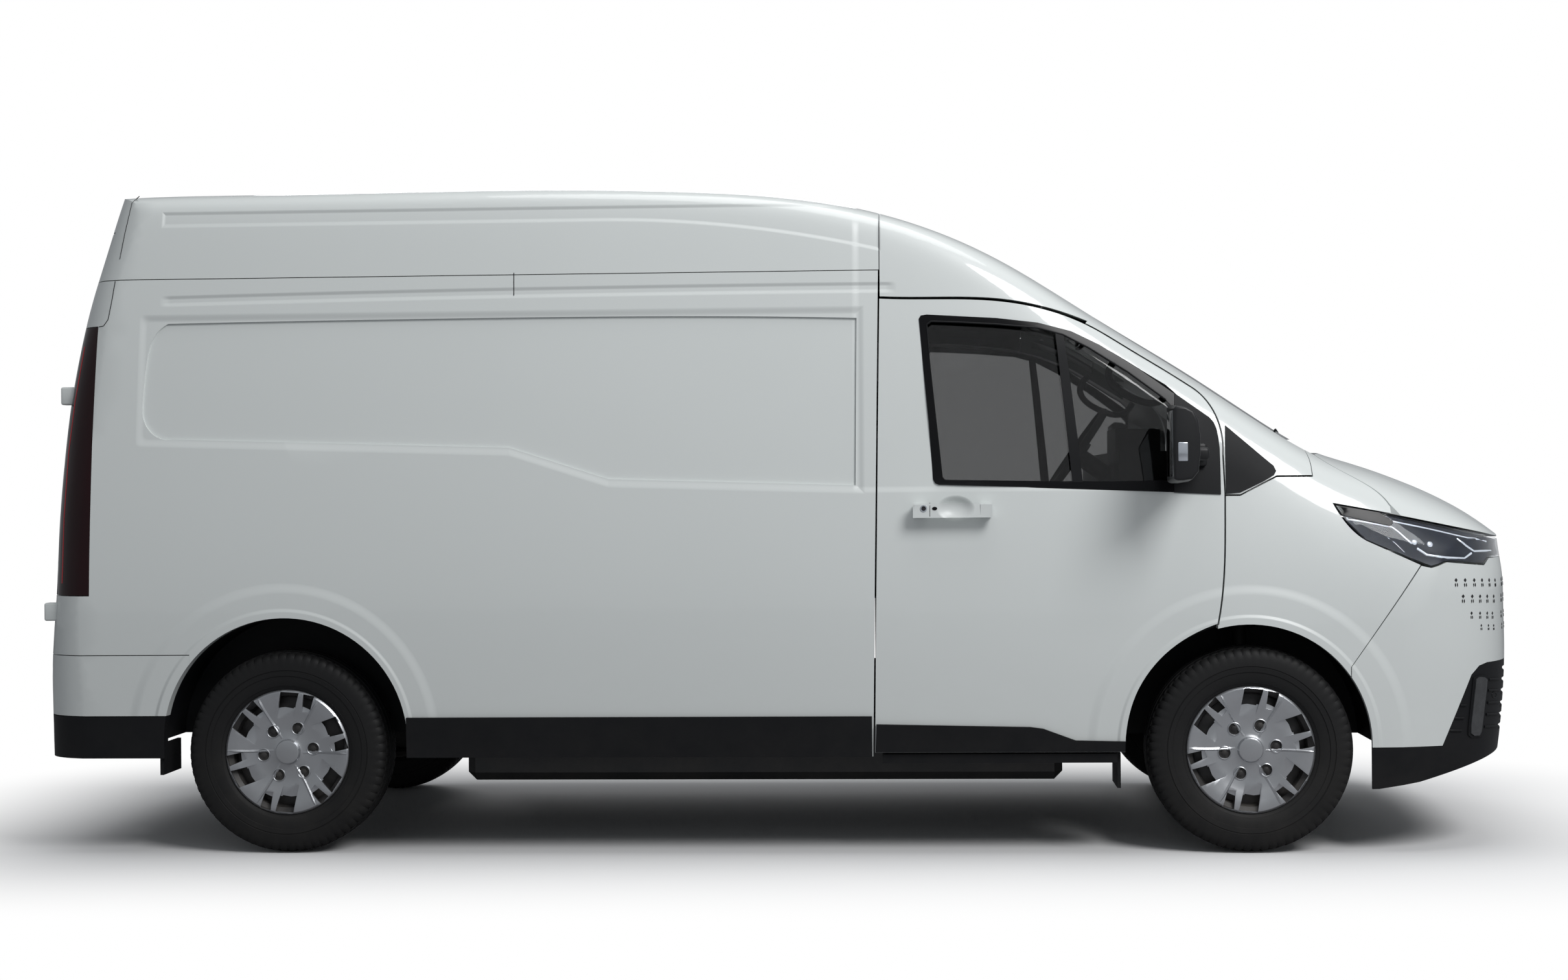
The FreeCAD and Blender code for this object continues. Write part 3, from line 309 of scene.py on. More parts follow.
def make_materials(paint):
    make_groups()
    make_pressings()
    finish("white_paint", paint[:3], 0.34, spread=0.012, patch=1.1, coat=0.8, coat_roughness=0.04, grain=0.012,
           relief=0.05, depth=0.0005, dust=0.14, dust_height=0.75, dust_colour=(0.52, 0.49, 0.44, 1), uneven=0.04,
           pressed=True)
    finish("black_plastic", (0.008, 0.0085, 0.010), 0.5, spread=0.2, grain=0.0016, relief=0.5, dust=0.05,
           specular=0.22)
    # The mirror shell is the trims' black plastic with a lighter colour, which is painted light where the mirror's
    # curved shell catches light, and with a stronger specular
    finish("mirror_shell", (0.012, 0.0125, 0.014), 0.42, spread=0.2, grain=0.0016, relief=0.5, specular=0.45)
    finish("gloss_black", (0.004, 0.004, 0.005), 0.24, spread=0.15, grain=0.006, relief=0.04, specular=0.25)
    finish("window_glass", (0.300, 0.303, 0.305), 0.012, spread=0.012, relief=0.0, uneven=0.008, transmission=1.0,
           ior=1.45)
    finish("lamp_lens", (0.93, 0.95, 0.97), 0.02, spread=0.01, relief=0.0, uneven=0.01, transmission=1.0, ior=1.22)
    finish("lamp_inside", (0.004, 0.0075, 0.017), 0.34, spread=0.5, patch=14.0, grain=0.004, relief=0.2,
           specular=0.25)
    finish("fog_glass", (0.05, 0.052, 0.055), 0.10, spread=0.5, patch=30.0, grain=0.004, relief=0.3, specular=0.6)
    finish("lamp_silver", (0.72, 0.76, 0.82), 0.16, spread=0.08, patch=20.0, metallic=0.75, grain=0.003, relief=0.2,
           coat=0.6)
    finish("mirror_glass", (0.80, 0.84, 0.86), 0.02, spread=0.02, metallic=1.0, relief=0.0, uneven=0.012)
    finish("red_line", (0.40, 0.006, 0.012), 0.12, spread=0.2, patch=9.0, grain=0.003, relief=0.15, coat=0.8)
    finish("steel_black", (0.016, 0.016, 0.018), 0.42, spread=0.3, patch=9.0, grain=0.003, relief=0.4, dust=0.3,
           dust_height=0.8)
    finish("pillar_trim", (0.30, 0.325, 0.31), 0.7, spread=0.08, grain=0.002, relief=0.5)
    finish("plate_blank", (0.68, 0.68, 0.66), 0.35, spread=0.04, patch=12.0, grain=0.003, relief=0.2, dust=0.3)
    finish("red_lens", (0.016, 0.0015, 0.003), 0.10, spread=0.35, patch=6.0, grain=0.004, relief=0.1, specular=0.3)
    finish("chassis_black", (0.012, 0.012, 0.013), 0.5, spread=0.3, grain=0.004, relief=0.4, dust=0.12,
           dust_height=1.0, specular=0.25)
    finish("cast_metal", (0.06, 0.061, 0.063), 0.46, spread=0.2, metallic=0.6, grain=0.003, relief=0.5, dust=0.2)
    finish("seat_cloth", (0.028, 0.029, 0.032), 0.9, spread=0.2, grain=0.0014, relief=0.7, depth=0.0006, sheen=0.3)
    finish("soft_plastic", (0.018, 0.019, 0.021), 0.62, spread=0.16, grain=0.0012, relief=0.5, specular=0.25)
    finish("tyre_rubber", (0.011, 0.011, 0.0115), 0.62, spread=0.3, patch=5.0, grain=0.002, relief=0.35, dust=0.05,
           dust_height=0.5, specular=0.3)
    finish("cover_silver", (0.55, 0.565, 0.59), 0.30, spread=0.06, patch=8.0, metallic=0.9, coat=0.15, grain=0.0012,
           relief=0.12, depth=0.0002, dust=0.25, dust_height=0.8)


MATERIAL_OF_SLOT = {"body_paint": "white_paint", "dark_plastic": "black_plastic", "screen_glass": "window_glass",
                    "lamp_clear": "lamp_lens", "lamp_red": "red_lens", "chassis_steel": "chassis_black",
                    "cast_alloy": "cast_metal", "seat_fabric": "seat_cloth", "grip_plastic": "soft_plastic",
                    "tyre": "tyre_rubber", "wheel_silver": "cover_silver"}


# Modelling helpers


def only(obj):
    bpy.ops.object.select_all(action="DESELECT")
    obj.select_set(True)
    bpy.context.view_layer.objects.active = obj
    return obj


def placed(name, data):
    obj = bpy.data.objects.new(name, data)
    bpy.context.scene.collection.objects.link(obj)
    return obj


def new_object(name, vertices, edges=(), faces=()):
    mesh = bpy.data.meshes.new(name)
    mesh.from_pydata(vertices, edges, faces)
    return placed(name, mesh)


def edited(obj, *steps):
    """Run edit mode operators, each on the whole mesh."""
    only(obj)
    bpy.ops.object.mode_set(mode="EDIT")
    for operator, values in steps:
        bpy.ops.mesh.select_all(action="SELECT")
        getattr(bpy.ops.mesh, operator)(**values)
    bpy.ops.object.mode_set(mode="OBJECT")
    return obj


def face_out(obj):
    return edited(obj, ("normals_make_consistent", {"inside": False}))


def smooth(obj, angle):
    """Smooth all edges but those sharper than the angle."""
    only(obj)
    bpy.ops.object.shade_smooth_by_angle(angle=math.radians(angle))
    return obj


def applied(obj, kind, **values):
    """Add a modifier and apply it."""
    modifier = obj.modifiers.new(kind.lower(), kind)
    for key, value in values.items():
        setattr(modifier, key, value)
    only(obj)
    bpy.ops.object.modifier_apply(modifier=modifier.name)
    return obj


def as_mesh(obj):
    """A curve made a mesh."""
    only(obj)
    bpy.ops.object.convert(target="MESH")
    return bpy.context.active_object


def dress(obj, material):
    obj.data.materials.clear()
    obj.data.materials.append(bpy.data.materials[material])
    return obj


def seat_on(obj, slot, material, body="van_body"):
    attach(obj, body)
    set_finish(obj, slot)
    return dress(obj, material)


def carried(node, name):
    """Welded and smoothed copy of a CAD node, which stands for it."""
    copy = edited(placed(name, NODES[node].data.copy()), ("remove_doubles", {"threshold": 2e-5}))
    if copy.data.has_custom_normals:
        bpy.ops.mesh.customdata_custom_splitnormals_clear()
    smooth(copy, 32)
    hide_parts(node)
    return seat_on(copy, SLOT_OF[node], MATERIAL_OF_SLOT[SLOT_OF[node]], BODY_OF[node])


# Finders


TREES = {}


def cast(start, ray, nodes):
    """First place where a line meets CAD nodes, the normal there and the way to it."""
    best = None
    for node in nodes:
        if node not in TREES:
            mesh = NODES[node].data
            TREES[node] = BVHTree.FromPolygons([v.co for v in mesh.vertices], [p.vertices for p in mesh.polygons])
        place, normal, _, far = TREES[node].ray_cast(start, ray)
        if place is not None and (best is None or far < best[2]):
            best = (place, -normal if normal.dot(ray) > 0 else normal, far)
    return best


def view_ray(point):
    ray = FORWARD * FOCAL + ACROSS * (point[0] - MIDDLE[0]) - UPRIGHT * (point[1] - MIDDLE[1])
    return ray.normalized()


def seen(*nodes, pane=None, depth=0.018, middle=None):
    """Finds the place on the right-hand side under a point of the photograph, in front of a pane where one shows."""
    def look(ray):
        hit = cast(EYE, ray, nodes) if nodes else None
        if hit and hit[0].y > NEAR_SIDE_Y:
            hit = None
        glass = cast(EYE, ray, [pane]) if pane else None
        if glass and (not hit or hit[2] > glass[2] or abs(hit[1].dot(glass[1])) < 0.8):
            return glass[0] + glass[1] * depth, glass[1]
        return hit[:2] if hit else None

    def where(point):
        where.hit = True
        for step in range(14):
            part = step * 0.04
            probe = [point[i] + (middle[i] - point[i]) * part for i in (0, 1)] if middle else point
            found = look(view_ray(probe))
            if found:
                place, normal = found
                ray = view_ray(point)
                if step == 0 or abs(ray.dot(normal)) < 0.5:
                    return place, normal
                return EYE + ray * ((place - EYE).dot(normal) / ray.dot(normal)), normal
            if not middle:
                break
        ray = view_ray(point)
        where.hit = False
        return EYE + ray * ((RIGHT_WALL_Y - EYE.y) / ray.y), Vector((0, -1, 0))
    where.facing = -FORWARD
    return where


def fitted(box, nodes, pane=None, depth=0.018, degree=5):
    """Finder on a smooth surface laid through what CAD nodes show in a part of the photograph."""
    rows, ways = [], []
    look = seen(*nodes, pane=pane, depth=depth)

    def terms(point):
        u = 2 * (point[0] - box[0]) / (box[2] - box[0]) - 1
        v = 2 * (point[1] - box[1]) / (box[3] - box[1]) - 1
        return [u ** i * v ** j for i in range(degree + 1) for j in range(degree + 1 - i)]

    for i in range(61):
        for j in range(41):
            point = (box[0] + (box[2] - box[0]) * i / 60, box[1] + (box[3] - box[1]) * j / 40)
            place, normal = look(point)
            if look.hit and normal.y < -0.75:
                rows.append(terms(point))
                ways.append(place.y)
    weights = numpy.linalg.lstsq(numpy.array(rows), numpy.array(ways), rcond=None)[0]

    def on_surface(point):
        ray = view_ray(point)
        return EYE + ray * ((float(numpy.dot(terms(point), weights)) - EYE.y) / ray.y)

    def where(point):
        place = on_surface(point)
        across = on_surface((point[0] + 2, point[1])) - place
        down = on_surface((point[0], point[1] + 2)) - place
        normal = across.cross(down).normalized()
        return place, -normal if normal.dot(FORWARD) > 0 else normal
    where.facing = -FORWARD
    return where


def met(facing, *nodes):
    """Finds the place on CAD nodes straight behind a point of the side, front or rear view, in metres."""
    facing = Vector(facing)

    def where(point):
        flat = Vector((point[0], 0, point[1])) if facing.y else Vector((0, point[0], point[1]))
        hit = cast(flat + facing * 5, -facing, nodes)
        return (hit[0], hit[1]) if hit else (flat + facing * 2.4, facing)
    where.facing = facing
    return where


def smooth_line(points, per, closed):
    """Points of a smooth line through the given ones."""
    points = [Vector(p) for p in points]
    count = len(points)
    line = []
    for i in range(count if closed else count - 1):
        p0, p1, p2, p3 = (points[(i + k) % count] if closed else points[min(max(i + k, 0), count - 1)]
                          for k in (-1, 0, 1, 2))
        for k in range(per):
            t = k / per
            line.append(0.5 * ((2 * p1) + (p2 - p0) * t + (2 * p0 - 5 * p1 + 4 * p2 - p3) * t * t
                               + (3 * p1 - p0 - 3 * p2 + p3) * t ** 3))
    return line if closed else line + [points[-1]]


def poly(curve, points, closed):
    spline = curve.splines.new("POLY")
    spline.points.add(len(points) - 1)
    for point, place in zip(spline.points, points):
        point.co = (*place, 1)
    spline.use_cyclic_u = closed


def flat_fill(name, outlines, longest):
    """Flat mesh between closed outlines, cut until no edge is longer than the given length."""
    curve = bpy.data.curves.new(name, "CURVE")
    curve.dimensions = "2D"
    curve.fill_mode = "BOTH"
    for outline in outlines:
        poly(curve, [(x, y, 0) for x, y in outline], True)
    obj = as_mesh(placed(name, curve))
    for _ in range(4):
        bpy.ops.object.mode_set(mode="EDIT")
        bpy.ops.mesh.select_mode(type="EDGE")
        bpy.ops.mesh.select_all(action="DESELECT")
        bpy.ops.object.mode_set(mode="OBJECT")
        for edge in obj.data.edges:
            a, b = (obj.data.vertices[v].co for v in edge.vertices)
            edge.select = (a - b).length > longest
        if not any(edge.select for edge in obj.data.edges):
            break
        bpy.ops.object.mode_set(mode="EDIT")
        bpy.ops.mesh.subdivide(number_cuts=1)
        bpy.ops.mesh.quads_convert_to_tris()
        bpy.ops.object.mode_set(mode="OBJECT")
    return obj


def thicken(obj, thickness, offset=1.0):
    return applied(obj, "SOLIDIFY", thickness=thickness, offset=offset)


def patch(name, outlines, where, thickness, lift=0.0, longest=14):
    """Thin piece that lies on the van, from outlines whose points a finder places."""
    obj = flat_fill(name, outlines, longest)
    for vertex in obj.data.vertices:
        place, normal = where(vertex.co)
        vertex.co = place + normal * lift
    if sum((face.normal * face.area for face in obj.data.polygons), Vector()).dot(where.facing) < 0:
        obj.data.flip_normals()
    return smooth(thicken(obj, thickness), 35)


def bar(name, points, radius, cyclic=False, per=5):
    """Round bar along a smooth line."""
    curve = bpy.data.curves.new(name, "CURVE")
    curve.dimensions = "3D"
    curve.bevel_depth = radius
    curve.bevel_resolution = 3
    curve.use_fill_caps = True
    poly(curve, smooth_line(points, per, cyclic), cyclic)
    obj = as_mesh(placed(name, curve))
    bpy.ops.object.shade_smooth()
    return obj


def line_on(name, points, where, radius, sink=0.0, per=5):
    """Round bar that follows the van's surface."""
    flat = [[a[i] + (b[i] - a[i]) * k / per for i in (0, 1)] for a, b in zip(points, points[1:]) for k in range(per)]
    places = [place - normal * sink for place, normal in map(where, flat + [points[-1]])]
    return bar(name, places, radius, per=1)


def other_side(obj, name, body="van_body"):
    """Mirrored copy for the left-hand side."""
    copy = placed(name, obj.data.copy())
    copy.data.transform(Matrix.Scale(-1, 4, (0, 1, 0)))
    copy.data.flip_normals()
    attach(copy, body)
    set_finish(copy, obj["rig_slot"])
    return copy


def both(obj, slot, material, body="van_body"):
    """Name and carry a right-hand piece and its mirrored copy."""
    name = obj.name
    obj.name = name + "_right"
    seat_on(obj, slot, material, body)
    return obj, other_side(obj, name + "_left", body.replace("right", "left"))


def spun(name, profile, steps):
    """Closed profile of (y, radius) points, spun round the axle."""
    edges = [(i, (i + 1) % len(profile)) for i in range(len(profile))]
    return edited(new_object(name, [(0, y, r) for y, r in profile], edges),
                  ("spin", {"steps": steps, "angle": 2 * math.pi, "center": (0, 0, 0), "axis": (0, 1, 0)}),
                  ("remove_doubles", {"threshold": 1e-5}), ("normals_make_consistent", {"inside": False}))


def turned(x, y, z, turn):
    """Place turned round the axle."""
    c, s = math.cos(turn), math.sin(turn)
    return x * c + z * s, y, -x * s + z * c


def prism(outline, y0, y1, turn=0.0):
    """Corners and faces of a prism along Y from an (x, z) outline turned round the axle."""
    count = len(outline)
    vertices = [turned(x, y, z, turn) for y in (y0, y1) for x, z in outline]
    faces = [tuple(range(count))[::-1], tuple(range(count, 2 * count))]
    faces += [(i, (i + 1) % count, count + (i + 1) % count, count + i) for i in range(count)]
    return vertices, faces


def tools(name, prisms):
    vertices, faces = [], []
    for corners, sides in prisms:
        faces += [tuple(len(vertices) + k for k in face) for face in sides]
        vertices += corners
    return face_out(new_object(name, vertices, (), faces))


def carve(obj, tool):
    applied(obj, "BOOLEAN", operation="DIFFERENCE", object=tool, solver="EXACT")
    bpy.data.objects.remove(tool)


def round_edges(obj, width, segments, angle):
    return applied(obj, "BEVEL", width=width, segments=segments, limit_method="ANGLE",
                   angle_limit=math.radians(angle))


def grid(rows):
    """Faces between rows of as many points each, counted one after another."""
    count = len(rows[0])
    return [(i * count + k, i * count + k + 1, (i + 1) * count + k + 1, (i + 1) * count + k)
            for i in range(len(rows) - 1) for k in range(count - 1)]


def joined(objects, name):
    bpy.ops.object.select_all(action="DESELECT")
    for obj in objects:
        obj.select_set(True)
    bpy.context.view_layer.objects.active = objects[0]
    bpy.ops.object.join()
    obj = bpy.context.active_object
    obj.name = name
    return obj


def made(primitive, name, **values):
    """Object from one of Blender's primitives, with its place in its mesh."""
    bpy.ops.object.select_all(action="DESELECT")
    getattr(bpy.ops.mesh, "primitive_%s_add" % primitive)(**values)
    obj = bpy.context.active_object
    obj.name = name
    bpy.ops.object.transform_apply(location=True, rotation=True, scale=True)
    return obj


def box(name, low, high):
    low, high = Vector(low), Vector(high)
    return made("cube", name, size=1, location=(low + high) / 2, scale=high - low)


def rounded_box(name, low, high, width, segments=3):
    return smooth(round_edges(box(name, low, high), width, segments, 30), 40)


# Settings


class VanColours(bpy.types.PropertyGroup):
    """Colours of the van."""
    paint: bpy.props.FloatVectorProperty(name="Paint", description="Body colour", subtype="COLOR", size=3,
                                         default=(0.77, 0.805, 0.795), min=0, max=1)


class VanSizes(bpy.types.PropertyGroup):
    """Sizes of the van's added pieces."""
    tread_depth: bpy.props.FloatProperty(name="Tread depth", description="Depth of the cuts in the tyre's shoulders",
                                         default=0.005, unit="LENGTH")
    joint_width: bpy.props.FloatProperty(name="Joint width", description="Width of the dark lines between panels",
                                         default=0.0034, unit="LENGTH")
    frame_thickness: bpy.props.FloatProperty(name="Frame thickness", description="Thickness of the window frames",
                                             default=0.0030, unit="LENGTH")


# Operators


def seen_straight(tree):
    """One for rays from the camera and through glass, which see the white ground and world."""
    path = tree.nodes.new("ShaderNodeLightPath")
    return Field(tree, path.outputs["Is Camera Ray"]).most(path.outputs["Is Transmission Ray"])


# Name, place, what it looks at, width and power
LIGHTS = (("key_light", (5.5, -7.0, 8.0), (0.3, 0, 1.0), 5.0, 620),
          ("top_light", (0.8, -0.5, 8.5), (0, 0, 1.0), 6.0, 190),
          ("far_light", (-2.0, 8.5, 5.0), (0, 0, 1.0), 5.0, 120))
FLOOR_RADIUS = 40
# Half length and width of the ground that stays shaded round the van; beyond, it fades to white
SHADE_HALF_X, SHADE_HALF_Y = 2.2, 0.75


class VAN_OT_stage(bpy.types.Operator):
    """Floor, lights, world and camera"""
    bl_idname = "van.stage"
    bl_label = "Stage"

    def execute(self, context):
        scene = context.scene
        scene.view_settings.view_transform = "Standard"
        material, tree, shader = blank_material("floor")
        place = object_place(tree)
        shown = seen_straight(tree)
        colour = mix(tree, noise(tree, place, 1.5), (0.84, 0.84, 0.85, 1), (0.88, 0.88, 0.88, 1))
        colour = mix(tree, tree.nodes.new("ShaderNodeLightPath").outputs["Is Camera Ray"], (0.30, 0.30, 0.31, 1),
                     colour)
        for key, value in (("Base Color", colour), ("Roughness", 0.8), ("Specular IOR Level", 0.1)):
            put(tree, shader.inputs[key], value)
        x, y, _ = parts(tree, place)
        away = distance((abs(x) - SHADE_HALF_X).most(0.0), (abs(y) - SHADE_HALF_Y).most(0.0))
        white = add(tree, "Emission", Color=(1, 1, 1, 1), Strength=1.0)
        blend = add(tree, "MixShader", Fac=shown * away.step(0.1, 1.5), at_1=shader.outputs[0],
                    at_2=white.outputs[0])
        output = next(n for n in tree.nodes if n.type == "OUTPUT_MATERIAL")
        put(tree, output.inputs["Surface"], blend.outputs[0])
        floor = made("circle", "floor", vertices=96, radius=FLOOR_RADIUS, fill_type="NGON", location=(0, 0, 0))
        floor.data.materials.append(material)

        scene.world = bpy.data.worlds.new("studio")
        scene.world.use_nodes = True
        tree = scene.world.node_tree
        tree.nodes.clear()
        shown = seen_straight(tree)
        soft = add(tree, "Background", Color=(0.92, 0.96, 1.0, 1), Strength=0.30)
        white = add(tree, "Background", Color=(1, 1, 1, 1), Strength=1.0)
        blend = add(tree, "MixShader", Fac=shown, at_1=soft.outputs[0], at_2=white.outputs[0])
        put(tree, tree.nodes.new("ShaderNodeOutputWorld").inputs["Surface"], blend.outputs[0])

        for name, place, aim, size, watts in LIGHTS:
            bpy.ops.object.light_add(type="AREA", location=place)
            light = context.active_object
            light.name = name
            light.data.shape = "DISK"
            light.data.size = size
            light.data.energy = watts
            light.rotation_euler = (Vector(aim) - Vector(place)).to_track_quat("-Z", "Y").to_euler()

        turn = Matrix((ACROSS, UPRIGHT, -FORWARD)).transposed()
        bpy.ops.object.camera_add(location=EYE, rotation=turn.to_euler())
        camera = context.active_object
        camera.name = "camera"
        camera.data.sensor_width = SENSOR_WIDTH
        camera.data.lens = LENS
        camera.data.clip_end = 200
        scene.camera = camera
        return {"FINISHED"}


class VAN_OT_body(bpy.types.Operator):
    """Painted panels"""
    bl_idname = "van.body"
    bl_label = "Painted panels"

    def execute(self, context):
        for node in PAINTED:
            carried(node, node + "_shown")
        return {"FINISHED"}


# What lies on the van is drawn in the photograph's pixels
JOINTS = {"roof_side_joint": [(793, 421), (793, 456)],
          "rear_corner_joint": [(215, 303), (204, 313), (200, 330), (193, 360), (185, 400)],
          "rear_cap_joint": [(178, 434), (173, 463), (167, 493), (160, 503), (149, 505)]}


class VAN_OT_seams(bpy.types.Operator):
    """Joints between the fixed panels that the solids don't split"""
    bl_idname = "van.seams"
    bl_label = "Panel joints"

    def execute(self, context):
        width = context.scene.van_sizes.joint_width / 2
        shell = seen("side_panel_right", "roof_panel", "rear_quarters", middle=(700, 700))
        for name, points in JOINTS.items():
            both(line_on(name, points, shell, width, sink=0.0004), "dark_plastic", "gloss_black")
        return {"FINISHED"}


class VAN_OT_black_trims(bpy.types.Operator):
    """Black plastic trims, glass, chassis and battery as the solids have them"""
    bl_idname = "van.black_trims"
    bl_label = "Black trims, glass and chassis"

    def execute(self, context):
        for node in BLACK + PANES + CHASSIS + CASES:
            carried(node, node + "_shown")
        return {"FINISHED"}


WINDOW_OUTER = ((1418, 492), (1421, 487), (1430, 485.5), (1460, 487), (1538, 491), (1601, 498), (1653, 511.4),
                (1696, 532), (1755.6, 568.7), (1815, 610), (1845, 631), (1866, 645), (1872.5, 652), (1877, 662),
                (1880, 677), (1882, 692), (1883, 720), (1884, 762), (1823, 759.3), (1700, 755.5), (1617, 752.6),
                (1449, 748), (1443, 745.5), (1440, 740), (1433, 650), (1425, 570))
WINDOW_INNER = ((1430, 501), (1437, 496), (1480, 497.5), (1538, 500.5), (1601, 506), (1640, 516.5), (1680, 537),
                (1740, 574), (1799, 617), (1811, 630), (1811, 742), (1672, 743), (1459, 740.5), (1455, 736),
                (1450, 690), (1441, 610), (1434, 545))
WINDOW_BAR = ((1628, 512), (1634, 560), (1641, 618), (1648, 680), (1655, 744), (1671, 744), (1665, 690),
              (1657, 630), (1650, 575), (1641, 517))
SAIL = ((1890.5, 657), (1955, 711), (1965, 719), (1969, 727), (1966, 733), (1949, 743), (1914, 760), (1892, 762))
DOOR_SAIL = ((1812, 607), (1845, 630), (1866, 644.5), (1872.5, 652), (1877, 662), (1880, 677), (1882, 692),
             (1883, 720), (1884, 763), (1812, 760))
MIRROR_SHAPE = ((0, 0.03), (0, 0.96), (0.12, 1), (0.45, 0.985), (0.75, 0.93), (0.93, 0.80), (1, 0.60), (1, 0.35),
                (0.93, 0.12), (0.70, 0.02), (0.35, 0), (0.06, 0))

MIRROR_BOX = Vector((1.372, -1.2895, 1.277)), Vector((1.474, -1.074, 1.544))
# Name, middle and half width in pixels, height and material
LOCK_PARTS = (("lock_ring", (1425.5, 784.6), (5.4, 5.4), 0.0025, "lamp_silver"),
              ("lock_barrel", (1425.5, 784.6), (3.6, 3.6), 0.0035, "steel_black"),
              ("handle_button", (1442.5, 784.6), (4.0, 2.6), 0.0022, "gloss_black"))


class VAN_OT_door_fittings(bpy.types.Operator):
    """Window frames, divider bars, sails, mirrors and lock parts of the cab doors"""
    bl_idname = "van.door_fittings"
    bl_label = "Cab door fittings"

    def execute(self, context):
        thick = context.scene.van_sizes.frame_thickness
        door = fitted((1400, 478, 1900, 790), ["front_door_right"], pane="door_glass_right")
        frame_ring = patch("window_frame", [WINDOW_OUTER, WINDOW_INNER], door, thick + 0.002, lift=-0.002)
        both(frame_ring, "dark_plastic", "gloss_black", "front_door_right")
        divider = patch("window_divider", [WINDOW_BAR], door, thick * 2, lift=-0.002)
        both(divider, "dark_plastic", "black_plastic", "front_door_right")
        seal = line_on("window_seal", WINDOW_INNER[-1:] + WINDOW_INNER[:9], door, 0.0034, sink=-0.0024)
        both(seal, "dark_plastic", "black_plastic", "front_door_right")
        sail_place = fitted((1880, 640, 1985, 775), ["cab_frame", "front_wings"], degree=3)
        base = patch("sail_base", [SAIL], sail_place, thick * 2, lift=-0.002)
        both(base, "dark_plastic", "black_plastic")
        sail = patch("door_sail", [DOOR_SAIL], door, thick * 2.4, lift=-0.002)
        both(sail, "dark_plastic", "black_plastic", "front_door_right")

        low, high = MIRROR_BOX
        shape = [(low.x + a * (high.x - low.x), low.z + b * (high.z - low.z)) for a, b in MIRROR_SHAPE]
        head = tools("mirror_head", [prism(shape, low.y, high.y)])
        for vertex in head.data.vertices:
            if vertex.co.y < -1.2:
                vertex.co.z = 1.41 + (vertex.co.z - 1.41) * 0.93
                vertex.co.x = 1.374 + (vertex.co.x - 1.374) * 0.86
        smooth(round_edges(head, 0.016, 4, 50), 40)
        arm = rounded_box("mirror_arm", (1.440, -1.100, 1.354), (1.516, -0.938, 1.400), 0.014, 4)
        foot = rounded_box("mirror_foot", (1.446, -0.975, 1.335), (1.521, -0.937, 1.415), 0.010, 3)
        # The mirror housing takes the lighter black, which is painted light on its curved shell
        right, left = both(joined([head, arm, foot], "mirror_housing"), "dark_plastic", "mirror_shell",
                           "front_door_right")
        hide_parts("mirror_right")
        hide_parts("mirror_left")
        glass = rounded_box("mirror_pane", (1.3714, -1.262, 1.300), (1.3740, -1.095, 1.520), 0.0010, 2)
        both(glass, "screen_glass", "mirror_glass", "front_door_right")
        lens = rounded_box("mirror_indicator", (1.386, -1.2918, 1.350), (1.419, -1.272, 1.414), 0.004, 3)
        both(lens, "lamp_clear", "lamp_silver", "front_door_right")

        grip = seen("front_door_right", middle=(1430, 785))
        for name, centre, half, height, material in LOCK_PARTS:
            oval = [(centre[0] + half[0] * math.cos(k * math.pi / 10),
                     centre[1] + half[1] * math.sin(k * math.pi / 10)) for k in range(20)]
            both(patch(name, [oval], grip, height, lift=-0.0005), "dark_plastic", material, "front_door_right")
        joint = line_on("handle_joint", [(1435, 776), (1435, 797)], grip, 0.0011, sink=0.0003)
        both(joint, "dark_plastic", "gloss_black", "front_door_right")
        return {"FINISHED"}


LAMP_LINES = (("upper_guide", 0.0042, ((2070, 799), (2100, 803), (2149, 812), (2160, 820), (2180, 838))),
              ("lower_guide", 0.0030, ((2143, 829), (2155, 838), (2174, 857))),
              ("top_line", 0.0045, ((2150, 803), (2200, 813), (2250, 824), (2296, 835))),
              ("running_light", 0.0050, ((2250, 829), (2264, 841), (2277, 850), (2303, 849))),
              ("bottom_rim", 0.0055, ((2188, 845), (2203, 855), (2235, 860), (2262, 861), (2273, 853))))

PROJECTORS = (("outer_projector", (2184, 836), 0.016), ("inner_projector", (2208, 839), 0.020))
LAMP_HOOD = ((2051, 778), (2129, 791), (2150, 805), (2146, 811), (2062, 793))
LENS_GAP = 0.007


class VAN_OT_headlamps(bpy.types.Operator):
    """Headlamps: dark insides, light guides, projectors and clear lenses"""
    bl_idname = "van.headlamps"
    bl_label = "Headlamps"

    def execute(self, context):
        inside = carried("headlamps", "headlamp_insides")
        dress(inside, "lamp_inside")
        lens = inside.data.copy()
        for vertex in inside.data.vertices:
            vertex.co -= vertex.normal * LENS_GAP
        keep = [face for face in lens.polygons
                if face.normal.dot(Vector((0.62, math.copysign(0.74, face.center.y), 0.25)).normalized()) > 0.45]
        corners = sorted({v for face in keep for v in face.vertices})
        place = {v: i for i, v in enumerate(corners)}
        shell = new_object("headlamp_lenses", [lens.vertices[v].co for v in corners], (),
                           [tuple(place[v] for v in face.vertices) for face in keep])
        bpy.data.meshes.remove(lens)
        seat_on(smooth(thicken(shell, 0.0025, offset=-1.0), 35), "lamp_clear", "lamp_lens")
        lamp = seen("headlamps", middle=(2190, 830))
        for name, radius, points in LAMP_LINES:
            both(line_on("lamp_" + name, points, lamp, radius, sink=0.0095, per=3), "lamp_clear", "lamp_silver")
        for name, centre, size in PROJECTORS:
            middle, normal = lamp(centre)
            ball = made("uv_sphere", name, segments=24, ring_count=12, radius=size,
                        location=middle - normal * (size + 0.004))
            bpy.ops.object.shade_smooth()
            both(ball, "lamp_clear", "lamp_silver")
        hood = patch("lamp_hood", [LAMP_HOOD], lamp, 0.002, lift=-0.0005)
        both(hood, "dark_plastic", "gloss_black")
        return {"FINISHED"}


TAIL_LINES = (("tail_front_line", 0.0035, "red_line", ((152, 525), (148, 600), (146, 643), (143, 750), (141, 850),
                                                       (139, 898))),
              ("tail_rear_line", 0.0035, "red_line", ((131, 535), (116, 620), (106, 700), (99, 800), (96, 900))),
              ("tail_split", 0.0016, "gloss_black", ((111, 643), (149, 643))))


